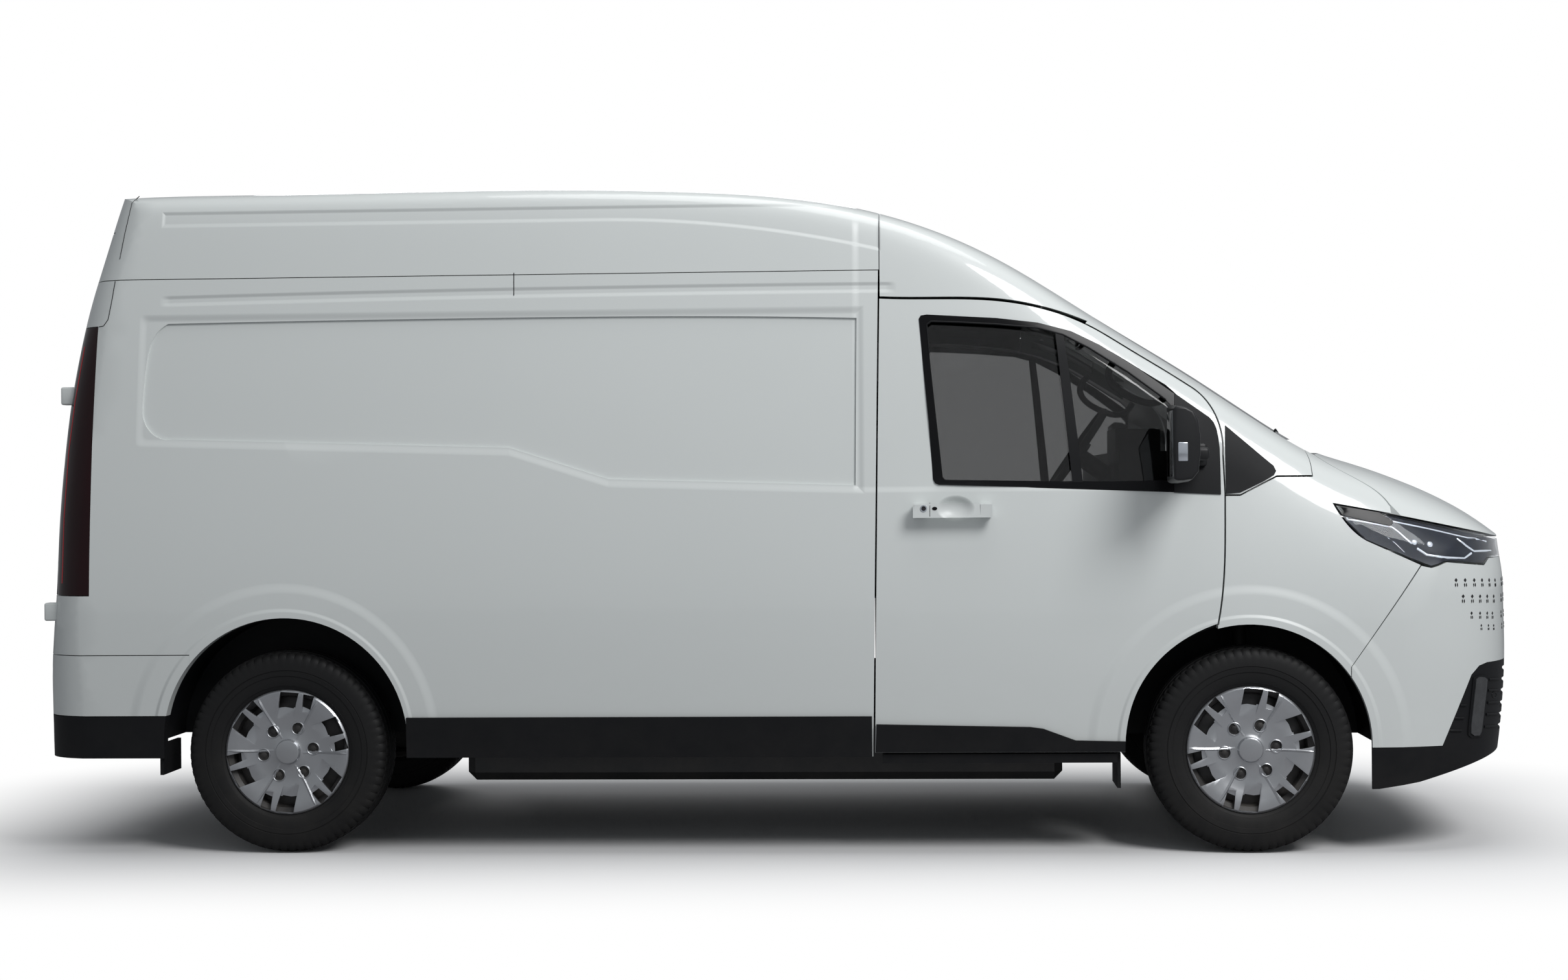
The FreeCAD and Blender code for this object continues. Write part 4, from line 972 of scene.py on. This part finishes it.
class VAN_OT_tail_lamps(bpy.types.Operator):
    """Tail lamps with their red edges and split"""
    bl_idname = "van.tail_lamps"
    bl_label = "Tail lamps"

    def execute(self, context):
        carried("tail_lamps", "tail_lamp_bodies")
        lamp = seen("tail_lamps", middle=(125, 700))
        for name, radius, material, points in TAIL_LINES:
            both(line_on(name, points, lamp, radius, sink=0.0012), "lamp_red", material)
        return {"FINISHED"}


# Pixel row, columns on the side, pitch round the front and size of a mark in millimetres
NOSE_ROWS = ((895, (2247, 2261, 2275, 2287, 2298, 2307), 0.075, 7), (920, (2258, 2272, 2284, 2295, 2305), 0.075, 7),
             (946, (2271, 2284, 2295, 2303), 0.08, 6), (965, (2286, 2297, 2305), 0.08, 5))


FOG_LAMP = ((2276, 1048), (2281, 1044), (2289, 1044), (2293, 1048), (2292, 1060), (2284, 1128), (2281, 1134),
            (2273, 1135), (2268, 1131), (2268, 1120))
GRILLE_FINS = (((2253, 1088), (2262, 1088)), ((2243, 1108), (2258, 1108)), ((2235, 1127), (2255, 1127)),
               ((2297, 1048), (2314, 1047)), ((2296, 1065), (2314, 1064)), ((2295, 1084), (2313, 1083)),
               ((2293, 1102), (2312, 1101)), ((2290, 1121), (2310, 1120)))

MARK_DIAMOND = ((0, 1), (0.9, 0), (0, -1), (-0.9, 0))
MARK_STROKE = ((0.3, -1.5), (0.4, -2.9), (-0.1, -3.3), (-0.3, -1.8))


class VAN_OT_nose(bpy.types.Operator):
    """Dark marks in the nose, whose colour is painted shade of recessed marks; lower grille with fins, fog lamps and
    sensors
    """
    bl_idname = "van.nose"
    bl_label = "Nose"

    def execute(self, context):
        bumper = seen("front_bumper", middle=(2200, 950))
        ahead = met((1, 0, 0), "front_bumper")
        vertices, faces = [], []

        def mark(place, normal, outline):
            across = Vector((0, 0, 1)).cross(normal).normalized()
            rise = normal.cross(across)
            base = len(vertices)
            for lift in (-0.002, 0.0012):
                vertices.extend(place + across * a + rise * b + normal * lift for a, b in outline)
            count = len(outline)
            faces.append(tuple(range(base + count - 1, base - 1, -1)))
            faces.append(tuple(range(base + count, base + 2 * count)))
            faces.extend((base + k, base + (k + 1) % count, base + count + (k + 1) % count, base + count + k)
                         for k in range(count))

        for row, columns, pitch, size in NOSE_ROWS:
            unit = size / 1000
            places = [bumper((column, row)) for column in columns]
            y, z = places[-1][0].y, places[-1][0].z
            while y < -0.04:
                y += pitch * (0.6 + 0.4 * min(1, -y / 0.7))
                if y < -0.03:
                    places.append(ahead((y, z)))
            for place, normal in places:
                for side in (1, -1):
                    spot_place = Vector((place.x, place.y * side, place.z))
                    spot_normal = Vector((normal.x, normal.y * side, normal.z))
                    for shape, shift in ((MARK_DIAMOND, 0), (MARK_STROKE, -0.55), (MARK_STROKE, 0.65)):
                        mark(spot_place, spot_normal, [((a + shift) * unit, b * unit) for a, b in shape])
        # The marks are near-black plates that stand out of the bumper; their dark colour is painted shade of the
        # recessed marks
        marks = new_object("nose_marks", vertices, (), faces)
        face_out(marks)
        seat_on(marks, "dark_plastic", "steel_black")

        grille = seen("lower_grille", middle=(2275, 1090))
        surround = [(x + (3 if x > 2280 else -3), y + (3 if y > 1090 else -3)) for x, y in FOG_LAMP]
        both(patch("fog_lamp_surround", [surround], grille, 0.006, lift=-0.002), "dark_plastic", "black_plastic")
        both(patch("fog_lamp", [FOG_LAMP], grille, 0.010, lift=-0.002), "lamp_clear", "fog_glass")
        for count, points in enumerate(GRILLE_FINS):
            both(line_on("grille_fin_%d" % count, points, grille, 0.0045, sink=-0.001), "dark_plastic",
                 "black_plastic")
        ring = [grille((2306 + 3.4 * math.cos(k * math.pi / 6), 1072 + 4.6 * math.sin(k * math.pi / 6)))[0]
                for k in range(12)]
        both(bar("parking_sensor", ring, 0.0016, cyclic=True), "dark_plastic", "gloss_black")
        return {"FINISHED"}


COVER_FRONT = ((-0.0930, 0), (-0.0930, 0.036), (-0.0915, 0.0405), (-0.0860, 0.0425), (-0.0780, 0.0450),
               (-0.0745, 0.0560), (-0.0735, 0.0850), (-0.0740, 0.1120), (-0.0830, 0.1450), (-0.0920, 0.1780),
               (-0.0955, 0.2000), (-0.0950, 0.2120), (-0.0910, 0.2185), (-0.0880, 0.2205))
COVER_BACK = ((-0.0840, 0.2200), (-0.0865, 0.2080), (-0.0810, 0.1750), (-0.0710, 0.1400), (-0.0660, 0.1120),
              (-0.0660, 0.0500), (-0.0690, 0.0350), (-0.0690, 0))
RIM = ((-0.0830, 0.2195), (-0.0760, 0.2190), (-0.0700, 0.2060), (-0.0400, 0.2000), (0.0400, 0.2000),
       (0.0700, 0.2060), (0.0780, 0.2205), (0.0830, 0.2205), (0.0830, 0.2140), (0.0740, 0.1990), (0.0440, 0.1910),
       (-0.0440, 0.1910), (-0.0700, 0.1980), (-0.0820, 0.2120))
CENTRE_DISC = ((-0.0580, 0.0), (-0.0580, 0.0760), (-0.0500, 0.1000), (-0.0520, 0.1500), (-0.0420, 0.1930),
               (-0.0340, 0.1930), (-0.0420, 0.1500), (-0.0400, 0.1000), (-0.0480, 0.0700), (-0.0480, 0.0))
TREAD_HALF = ((0.0040, 0.3470), (0.0045, 0.3558), (0.0360, 0.3553), (0.0365, 0.3465), (0.0445, 0.3465),
              (0.0450, 0.3546), (0.0700, 0.3520), (0.0705, 0.3450), (0.0755, 0.3445), (0.0760, 0.3508),
              (0.0890, 0.3470), (0.0970, 0.3395), (0.1020, 0.3290), (0.1050, 0.3150), (0.1068, 0.2990),
              (0.1073, 0.2900), (0.1052, 0.2885), (0.1052, 0.2872), (0.1070, 0.2858), (0.1060, 0.2700),
              (0.1034, 0.2688), (0.1024, 0.2540), (0.1000, 0.2420), (0.0978, 0.2350), (0.0940, 0.2325),
              (0.0900, 0.2250), (0.0860, 0.2205), (0.0820, 0.2185))
LARGE_WINDOW = ((-0.0105, 0.2045), (0.0340, 0.2000), (0.0210, 0.1527), (-0.0150, 0.1590))
LARGE_POCKET = ((-0.0216, 0.2130), (0.0440, 0.2085), (0.0180, 0.1180), (-0.0380, 0.1180))
SMALL_WINDOW = ((0.0688, 0.1986), (0.0865, 0.1980), (0.0767, 0.1592), (0.0603, 0.1619))
SMALL_POCKET = ((0.0603, 0.2045), (0.0985, 0.1960), (0.0800, 0.1376), (0.0524, 0.1409))


def circle(x, z, radius, steps=20):
    return [(x + radius * math.cos(2 * math.pi * k / steps), z + radius * math.sin(2 * math.pi * k / steps))
            for k in range(steps)]


def cover_depth(radius):
    """Where the cover's front is at a radius."""
    for (y0, r0), (y1, r1) in zip(COVER_FRONT, COVER_FRONT[1:]):
        if r0 <= radius <= r1:
            return y0 + (y1 - y0) * (radius - r0) / (r1 - r0)
    return COVER_FRONT[-1][0]


LUG = (0.0345, 0.0822)
LUG_RING = ((0.0195, -0.064), (0.0200, -0.0765), (0.0215, -0.0780), (0.0235, -0.0770), (0.0250, -0.0720))
RING_STEPS, CREASE_STEPS, TYRE_STEPS = 20, 16, 288


def lug_ring(turn):
    """Raised ring round a bolt's hole in the cover."""
    vertices = [turned(x, y, z, turn) for radius, y in LUG_RING for x, z in circle(*LUG, radius, RING_STEPS)]
    faces = []
    for ring in range(len(LUG_RING) - 1):
        for k in range(RING_STEPS):
            a, b = ring * RING_STEPS + k, ring * RING_STEPS + (k + 1) % RING_STEPS
            faces.append((a, a + RING_STEPS, b + RING_STEPS, b))
    return new_object("lug_ring", vertices, (), faces)


def cover_crease(turn):
    """Raised fold in a spoke of the cover."""
    side = Vector((0.87, 0, 0.49)) * 0.0040
    rows = []
    for k in range(CREASE_STEPS + 1):
        t = k / CREASE_STEPS
        x, z = -0.0216 - 0.0800 * t - 0.004 * math.sin(t * math.pi), 0.0450 + 0.1420 * t
        lift = 0.0042 * min(1, 6 * t, 6 * (1 - t) + 0.2)
        row = []
        for shift, rise in ((-1.2, -0.001), (0.0, lift), (0.45, lift * 0.75), (2.0, -0.001)):
            a, b = x + side.x * shift, z + side.z * shift
            row.append(turned(a, cover_depth(math.hypot(a, b)) - rise, b, turn))
        rows.append(row)
    return new_object("cover_crease", [place for row in rows for place in row], (), grid(rows))


class VAN_OT_wheels(bpy.types.Operator):
    """Tyres, covers with windows and bolts, and the black steel wheels behind them"""
    bl_idname = "van.wheels"
    bl_label = "Wheels"

    def execute(self, context):
        cover = spun("wheel_cover", COVER_FRONT + COVER_BACK, 96)
        turns = [k * math.pi / 3 for k in range(6)]
        carve(cover, tools("pockets", [prism(shape, -0.2, floor, turn) for turn in turns
                                       for shape, floor in ((LARGE_POCKET, -0.0762), (SMALL_POCKET, -0.0790))]))
        carve(cover, tools("windows", [prism(shape, -0.2, -0.03, turn) for turn in turns
                                       for shape in (LARGE_WINDOW, SMALL_WINDOW, circle(*LUG, 0.0198))]))
        round_edges(cover, 0.0012, 2, 30)
        pieces = [cover] + [make(turn) for turn in turns for make in (lug_ring, cover_crease)]
        cover = smooth(face_out(joined(pieces, "wheel_cover")), 28)
        steel = smooth(joined([spun("rim", RIM, 96), spun("centre_disc", CENTRE_DISC, 96)], "steel_wheel"), 30)
        bolts = tools("wheel_bolts", [prism(circle(*LUG, size, steps), -depth, -0.055, turn) for turn in turns
                                      for size, depth, steps in ((0.0196, 0.0690, 20), (0.0115, 0.0745, 6),
                                                                 (0.0070, 0.0762, 16))])
        smooth(round_edges(bolts, 0.0008, 2, 40), 30)

        profile = [(-y, r) for y, r in reversed(TREAD_HALF)] + [(y, r) for y, r in TREAD_HALF]
        tyre = spun("tyre", profile, TYRE_STEPS)
        depth = context.scene.van_sizes.tread_depth
        for vertex in tyre.data.vertices:
            radius = math.hypot(vertex.co.x, vertex.co.z)
            step = round(math.atan2(vertex.co.x, vertex.co.z) / (2 * math.pi / TYRE_STEPS)) % TYRE_STEPS
            away = abs(vertex.co.y)
            cut = 0.0
            if step % 4 == 0 and away > 0.075 and 0.300 < radius:
                cut = 0.5 if away > 0.104 else 1.0
            elif step % 4 == 2 and 0.044 < away < 0.0705 and radius > 0.350:
                cut = 0.5
            vertex.co.x *= 1 - cut * depth / radius
            vertex.co.z *= 1 - cut * depth / radius
            if step % 8 == 0 and 0.255 < radius < 0.2695:
                vertex.co.y += math.copysign(0.0007, vertex.co.y)
        smooth(tyre, 28)

        for end, axle in (("front", FRONT_AXLE), ("rear", REAR_AXLE)):
            for side, way in SIDES:
                place = Matrix.Translation(axle + Vector((0, way * HALF_TRACK, 0)))
                if way > 0:
                    place = place @ Matrix.Rotation(math.pi, 4, "Z")
                name = end + "_" + side
                for template, slot, material, node in ((cover, "wheel_silver", "cover_silver", "wheel_"),
                                                       (steel, "chassis_steel", "steel_black", None),
                                                       (bolts, "chassis_steel", "steel_black", None),
                                                       (tyre, "tyre", "tyre_rubber", "tyre_")):
                    copy = placed(template.name + "_" + name, template.data.copy())
                    copy.data.transform(place)
                    seat_on(copy, slot, material, name + "_wheel")
                    if node:
                        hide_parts(node + name)
        for template in (cover, steel, bolts, tyre):
            bpy.data.objects.remove(template)
        return {"FINISHED"}


GRAB_HANDLE = ((1680, 580), (1669, 592), (1667, 606), (1676, 620), (1695, 632), (1718, 640), (1736, 637), (1748, 622))


def cushion(name, low, high, crown, axis, channels):
    """Crowned pad whose sides pull in between its corners, with sewn channels across its face."""
    low, high = Vector(low), Vector(high)
    half, middle = (high - low) / 2, (high + low) / 2
    obj = edited(box(name, low, high), ("subdivide", {"number_cuts": 31}))
    others = [i for i in range(3) if i != axis]
    for vertex in obj.data.vertices:
        u = [(vertex.co[i] - middle[i]) / half[i] for i in range(3)]
        soft = [max(0.0, 1 - abs(t) ** 4) for t in u]
        place = Vector(vertex.co)
        for i in range(3):
            near = [soft[j] for j in range(3) if j != i]
            pull = 0.010 + crown * 0.5
            place[i] = middle[i] + u[i] * (half[i] - pull * (1 - near[0] * near[1]))
        sew = max(math.exp(-((u[others[0]] - line) * half[others[0]] / 0.006) ** 2) for line in channels)
        face = abs(u[axis]) ** 8
        welt = math.exp(-((abs(u[axis]) - 0.72) * half[axis] / 0.004) ** 2) * (1 - soft[others[0]] * soft[others[1]])
        place[axis] -= math.copysign(0.009 * sew * face, u[axis])
        for i in others:
            place[i] -= math.copysign(0.003 * welt * abs(u[i]) ** 6, u[i])
        vertex.co = place
    applied(obj, "SUBSURF", levels=1, render_levels=1)
    bpy.ops.object.shade_smooth()
    seat_on(obj, "seat_fabric", "seat_cloth")
    return obj


WINDOW_TOP = ((0.30, 1.872), (0.548, 1.869), (0.720, 1.860), (0.944, 1.837), (1.056, 1.806), (1.167, 1.758),
              (1.279, 1.691), (1.390, 1.621))
CAB_WALLS = ("front_door_left", "cab_frame", "roof_front_cap", "door_glass_left", "windscreen")


def inside_wall(x, z):
    hit = cast(Vector((x, 0.3, z)), Vector((0, 1, 0)), CAB_WALLS)
    return min(hit[0].y, 0.86) - 0.010 if hit else 0.80


def above_window(x):
    for (x0, z0), (x1, z1) in zip(WINDOW_TOP, WINDOW_TOP[1:]):
        if x0 <= x <= x1:
            return z0 + (z1 - z0) * (x - x0) / (x1 - x0) + 0.012
    return 1.633


def sheet(name, rows):
    return smooth(thicken(new_object(name, [p for row in rows for p in row], (), grid(rows)), 0.004, offset=0), 40)


def cab_lining():
    """Dark lining under the roof and pale trims along the windscreen pillars, inside the CAD panels."""
    def wall_row(x, rises):
        return [Vector((x, inside_wall(x, above_window(x) + rise), above_window(x) + rise)) for rise in rises]

    rows = []
    for k in range(15):
        x = 0.335 + 0.045 * k
        row = wall_row(x, (0, 0.03, 0.06, 0.09, 0.115))
        row += [Vector((x, y, above_window(x) + rise)) for y, rise in ((0.70, 0.135), (0.45, 0.145), (0.20, 0.15))]
        rows.append(row + [Vector((x, -p.y, p.z)) for p in reversed(row)])
    seat_on(sheet("roof_lining", rows), "dark_plastic", "soft_plastic")
    trim = sheet("pillar_trim_left", [wall_row(0.970 + 0.042 * k, (-0.004, 0.02, 0.045, 0.07)) for k in range(11)])
    seat_on(trim, "dark_plastic", "pillar_trim")
    other_side(trim, "pillar_trim_right")


# Name, right and left end, middles of the headrests and channels in the back
SEATS = (("driver", -0.700, -0.190, (-0.445,), (-0.55, 0.55)), ("bench", -0.060, 0.780, (0.140, 0.580), (0.0,)))
GRAB_HANDLE_Y = 0.70


class VAN_OT_cab(bpy.types.Operator):
    """Seats, dashboard, steering wheel, lining, pillar trims, grab handles and inner mirror"""
    bl_idname = "van.cab"
    bl_label = "Cab"

    def execute(self, context):
        carried("dashboard", "dashboard_shown")
        carried("steering_wheel", "steering_wheel_shown")
        for who, y0, y1, heads, split in SEATS:
            cushion(who + "_seat_cushion", (0.424, y0 + 0.004, 0.722), (0.926, y1 - 0.004, 0.858), 0.014,
                                2, (-0.35, 0.35))
            cushion(who + "_seat_back", (0.304, y0 + 0.014, 0.864), (0.396, y1 - 0.014, 1.474), 0.012, 0,
                                split)
            for count, y in enumerate(heads):
                cushion("%s_headrest_%d" % (who, count + 1), (0.318, y - 0.122, 1.502),
                                    (0.397, y + 0.122, 1.686), 0.016, 0, (-0.6, 0.6))
                posts = [bar("post", [(0.356, y + shift, 1.46), (0.356, y + shift, 1.52)], 0.006)
                         for shift in (-0.055, 0.055)]
                seat_on(joined(posts, "%s_headrest_posts_%d" % (who, count + 1)), "chassis_steel",
                        "lamp_silver")
            base = rounded_box(who + "_seat_base", (0.462, y0 + 0.002, 0.5405), (0.858, y1 - 0.002, 0.718), 0.012)
            seat_on(base, "dark_plastic", "black_plastic")
            shell = rounded_box(who + "_seat_shell", (0.301, y0 + 0.03, 0.74), (0.345, y1 - 0.03, 0.90), 0.01)
            seat_on(shell, "dark_plastic", "black_plastic")
        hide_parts("seats")

        rays = [view_ray(point) for point in GRAB_HANDLE]
        handle = bar("grab_handle", [EYE + ray * ((GRAB_HANDLE_Y - EYE.y) / ray.y) for ray in rays], 0.013)
        seat_on(handle, "dark_plastic", "soft_plastic")
        handle.name = "grab_handle_left"
        other_side(handle, "grab_handle_right")
        cab_lining()
        inner = rounded_box("inner_mirror", (1.150, -0.13, 1.800), (1.172, 0.13, 1.868), 0.008)
        seat_on(inner, "dark_plastic", "soft_plastic")
        pane = rounded_box("inner_mirror_pane", (1.1485, -0.122, 1.806), (1.152, 0.122, 1.862), 0.001)
        seat_on(pane, "screen_glass", "mirror_glass")
        return {"FINISHED"}


# Name, both ends of the blade and the arm's foot as x and y
WIPERS = (("driver", (1.800, -0.66), (1.905, -0.02), (1.985, -0.16)),
          ("passenger", (1.862, 0.02), (1.800, 0.64), (1.985, 0.44)))


def from_above(x, y, lift, *nodes):
    place, normal, _ = cast(Vector((x, y, 3)), Vector((0, 0, -1)), nodes)
    return place + normal * lift


class VAN_OT_wipers(bpy.types.Operator):
    """Wiper arms and blades at rest on the windscreen"""
    bl_idname = "van.wipers"
    bl_label = "Wipers"

    def execute(self, context):
        for name, start, end, pivot in WIPERS:
            blade = []
            for k in range(9):
                x, y = (start[i] + (end[i] - start[i]) * k / 8 for i in (0, 1))
                blade.append(from_above(x, y, 0.003, "windscreen", "cowl_panel", "cab_frame", "bonnet", "front_wings"))
            foot = from_above(*pivot, 0.006, "cowl_panel", "windscreen", "bonnet")
            middle = blade[4] + Vector((0, 0, 0.006))
            arm = bar("arm", [foot, foot.lerp(middle, 0.5) + Vector((0, 0, 0.002)), middle], 0.0055)
            rubber = bar("blade", blade, 0.0045, per=2)
            spine = bar("spine", [p + Vector((0, 0, 0.003)) for p in blade[2:7]], 0.0038, per=2)
            seat_on(joined([arm, rubber, spine], name + "_wiper"), "dark_plastic", "black_plastic")
        return {"FINISHED"}


def rectangle(x0, z0, x1, z1):
    return [(x0, z0), (x1, z0), (x1, z1), (x0, z1)]


REAR_HINGES = ((-2.537, 1.591), (-2.575, 0.822))
SILL_HALF, SILL_LOW, SILL_HIGH, SILL_FRONT, SILL_STEPS = 0.87, 0.480, 0.556, -2.545, 24


class VAN_OT_rear(bpy.types.Operator):
    """Hinges, handle, plate, stop lamp and sill at the rear"""
    bl_idname = "van.rear"
    bl_label = "Rear fittings"

    def execute(self, context):
        right = met((-1, 0, 0), "rear_door_right", "rear_quarters")
        handle = patch("rear_handle_plate", [rectangle(-0.150, 1.085, -0.035, 1.165)], right, 0.008, lift=-0.001,
                       longest=0.03)
        seat_on(handle, "dark_plastic", "black_plastic", "rear_door_right")
        grip = [right((-0.140, 1.125)), right((-0.095, 1.125)), right((-0.045, 1.125))]
        lifted = [place + normal * (0.006 if k != 1 else 0.011) for k, (place, normal) in enumerate(grip)]
        seat_on(bar("rear_handle", lifted, 0.009), "dark_plastic", "gloss_black", "rear_door_right")
        left = met((-1, 0, 0), "rear_door_left", "rear_quarters")
        frame_ring = patch("plate_surround", [rectangle(0.075, 0.830, 0.625, 0.975)], left, 0.007, lift=-0.001,
                           longest=0.04)
        seat_on(frame_ring, "dark_plastic", "black_plastic", "rear_door_left")
        plate = patch("plate_blank", [rectangle(0.090, 0.845, 0.610, 0.955)], left, 0.004, lift=0.0065, longest=0.04)
        seat_on(plate, "dark_plastic", "plate_blank", "rear_door_left")
        side = met((0, -1, 0), "rear_quarters", "side_panel_right", "tail_lamps", "rear_door_right")
        for count, (x, z) in enumerate(REAR_HINGES):
            edge = side((x + 0.045, z + 0.03))[0].y
            bracket = rounded_box("rear_hinge_%d" % (count + 1), (x, edge - 0.004, z),
                                  (x + 0.055, edge + 0.045, z + 0.064), 0.007)
            both(bracket, "body_paint", "white_paint")
        top = met((-1, 0, 0), "roof_panel", "rear_quarters")
        lamp = patch("high_stop_lamp", [rectangle(-0.16, 2.262, 0.16, 2.284)], top, 0.005, lift=-0.001, longest=0.04)
        seat_on(lamp, "lamp_red", "red_lens")
        self.sill(met((-1, 0, 0), "rear_bumper"))
        return {"FINISHED"}

    def sill(self, where):
        """Close the slot between the rear step and the doors."""
        places = []
        for k in range(SILL_STEPS + 1):
            y = SILL_HALF * (2 * k / SILL_STEPS - 1)
            outer = where((y, 0.46))[0].x + 0.012
            places += [(outer, y, SILL_LOW), (outer, y, SILL_HIGH), (SILL_FRONT, y, SILL_HIGH),
                       (SILL_FRONT, y, SILL_LOW)]
        last = 4 * SILL_STEPS
        faces = [(4 * k + c, 4 * k + (c + 1) % 4, 4 * k + 4 + (c + 1) % 4, 4 * k + 4 + c)
                 for k in range(SILL_STEPS) for c in range(4)] + [(0, 3, 2, 1), (last, last + 1, last + 2, last + 3)]
        seat_on(new_object("rear_sill", places, (), faces), "dark_plastic", "black_plastic")


class VAN_PT_panel(bpy.types.Panel):
    """Lists the van's operators."""
    bl_idname = "VAN_PT_panel"
    bl_label = "Panel van"
    bl_space_type = "VIEW_3D"
    bl_region_type = "UI"
    bl_category = "Van"

    def draw(self, context):
        layout = self.layout
        layout.prop(context.scene.van_colours, "paint")
        for size in ("tread_depth", "joint_width", "frame_thickness"):
            layout.prop(context.scene.van_sizes, size)
        for operator in OPERATORS:
            layout.operator(operator.bl_idname)


OPERATORS = (VAN_OT_stage, VAN_OT_body, VAN_OT_seams, VAN_OT_black_trims, VAN_OT_door_fittings, VAN_OT_headlamps,
             VAN_OT_tail_lamps, VAN_OT_nose, VAN_OT_wheels, VAN_OT_cab, VAN_OT_wipers, VAN_OT_rear)
CLASSES = (VanColours, VanSizes) + OPERATORS + (VAN_PT_panel,)


def register():
    for item in CLASSES:
        bpy.utils.register_class(item)
    bpy.types.Scene.van_colours = bpy.props.PointerProperty(type=VanColours)
    bpy.types.Scene.van_sizes = bpy.props.PointerProperty(type=VanSizes)


def unregister():
    del bpy.types.Scene.van_sizes
    del bpy.types.Scene.van_colours
    for item in reversed(CLASSES):
        bpy.utils.unregister_class(item)


def main():
    register()
    make_materials(bpy.context.scene.van_colours.paint)
    for operator in OPERATORS:
        getattr(bpy.ops.van, operator.bl_idname.split(".")[1])()


if __name__ == "__main__":
    main()
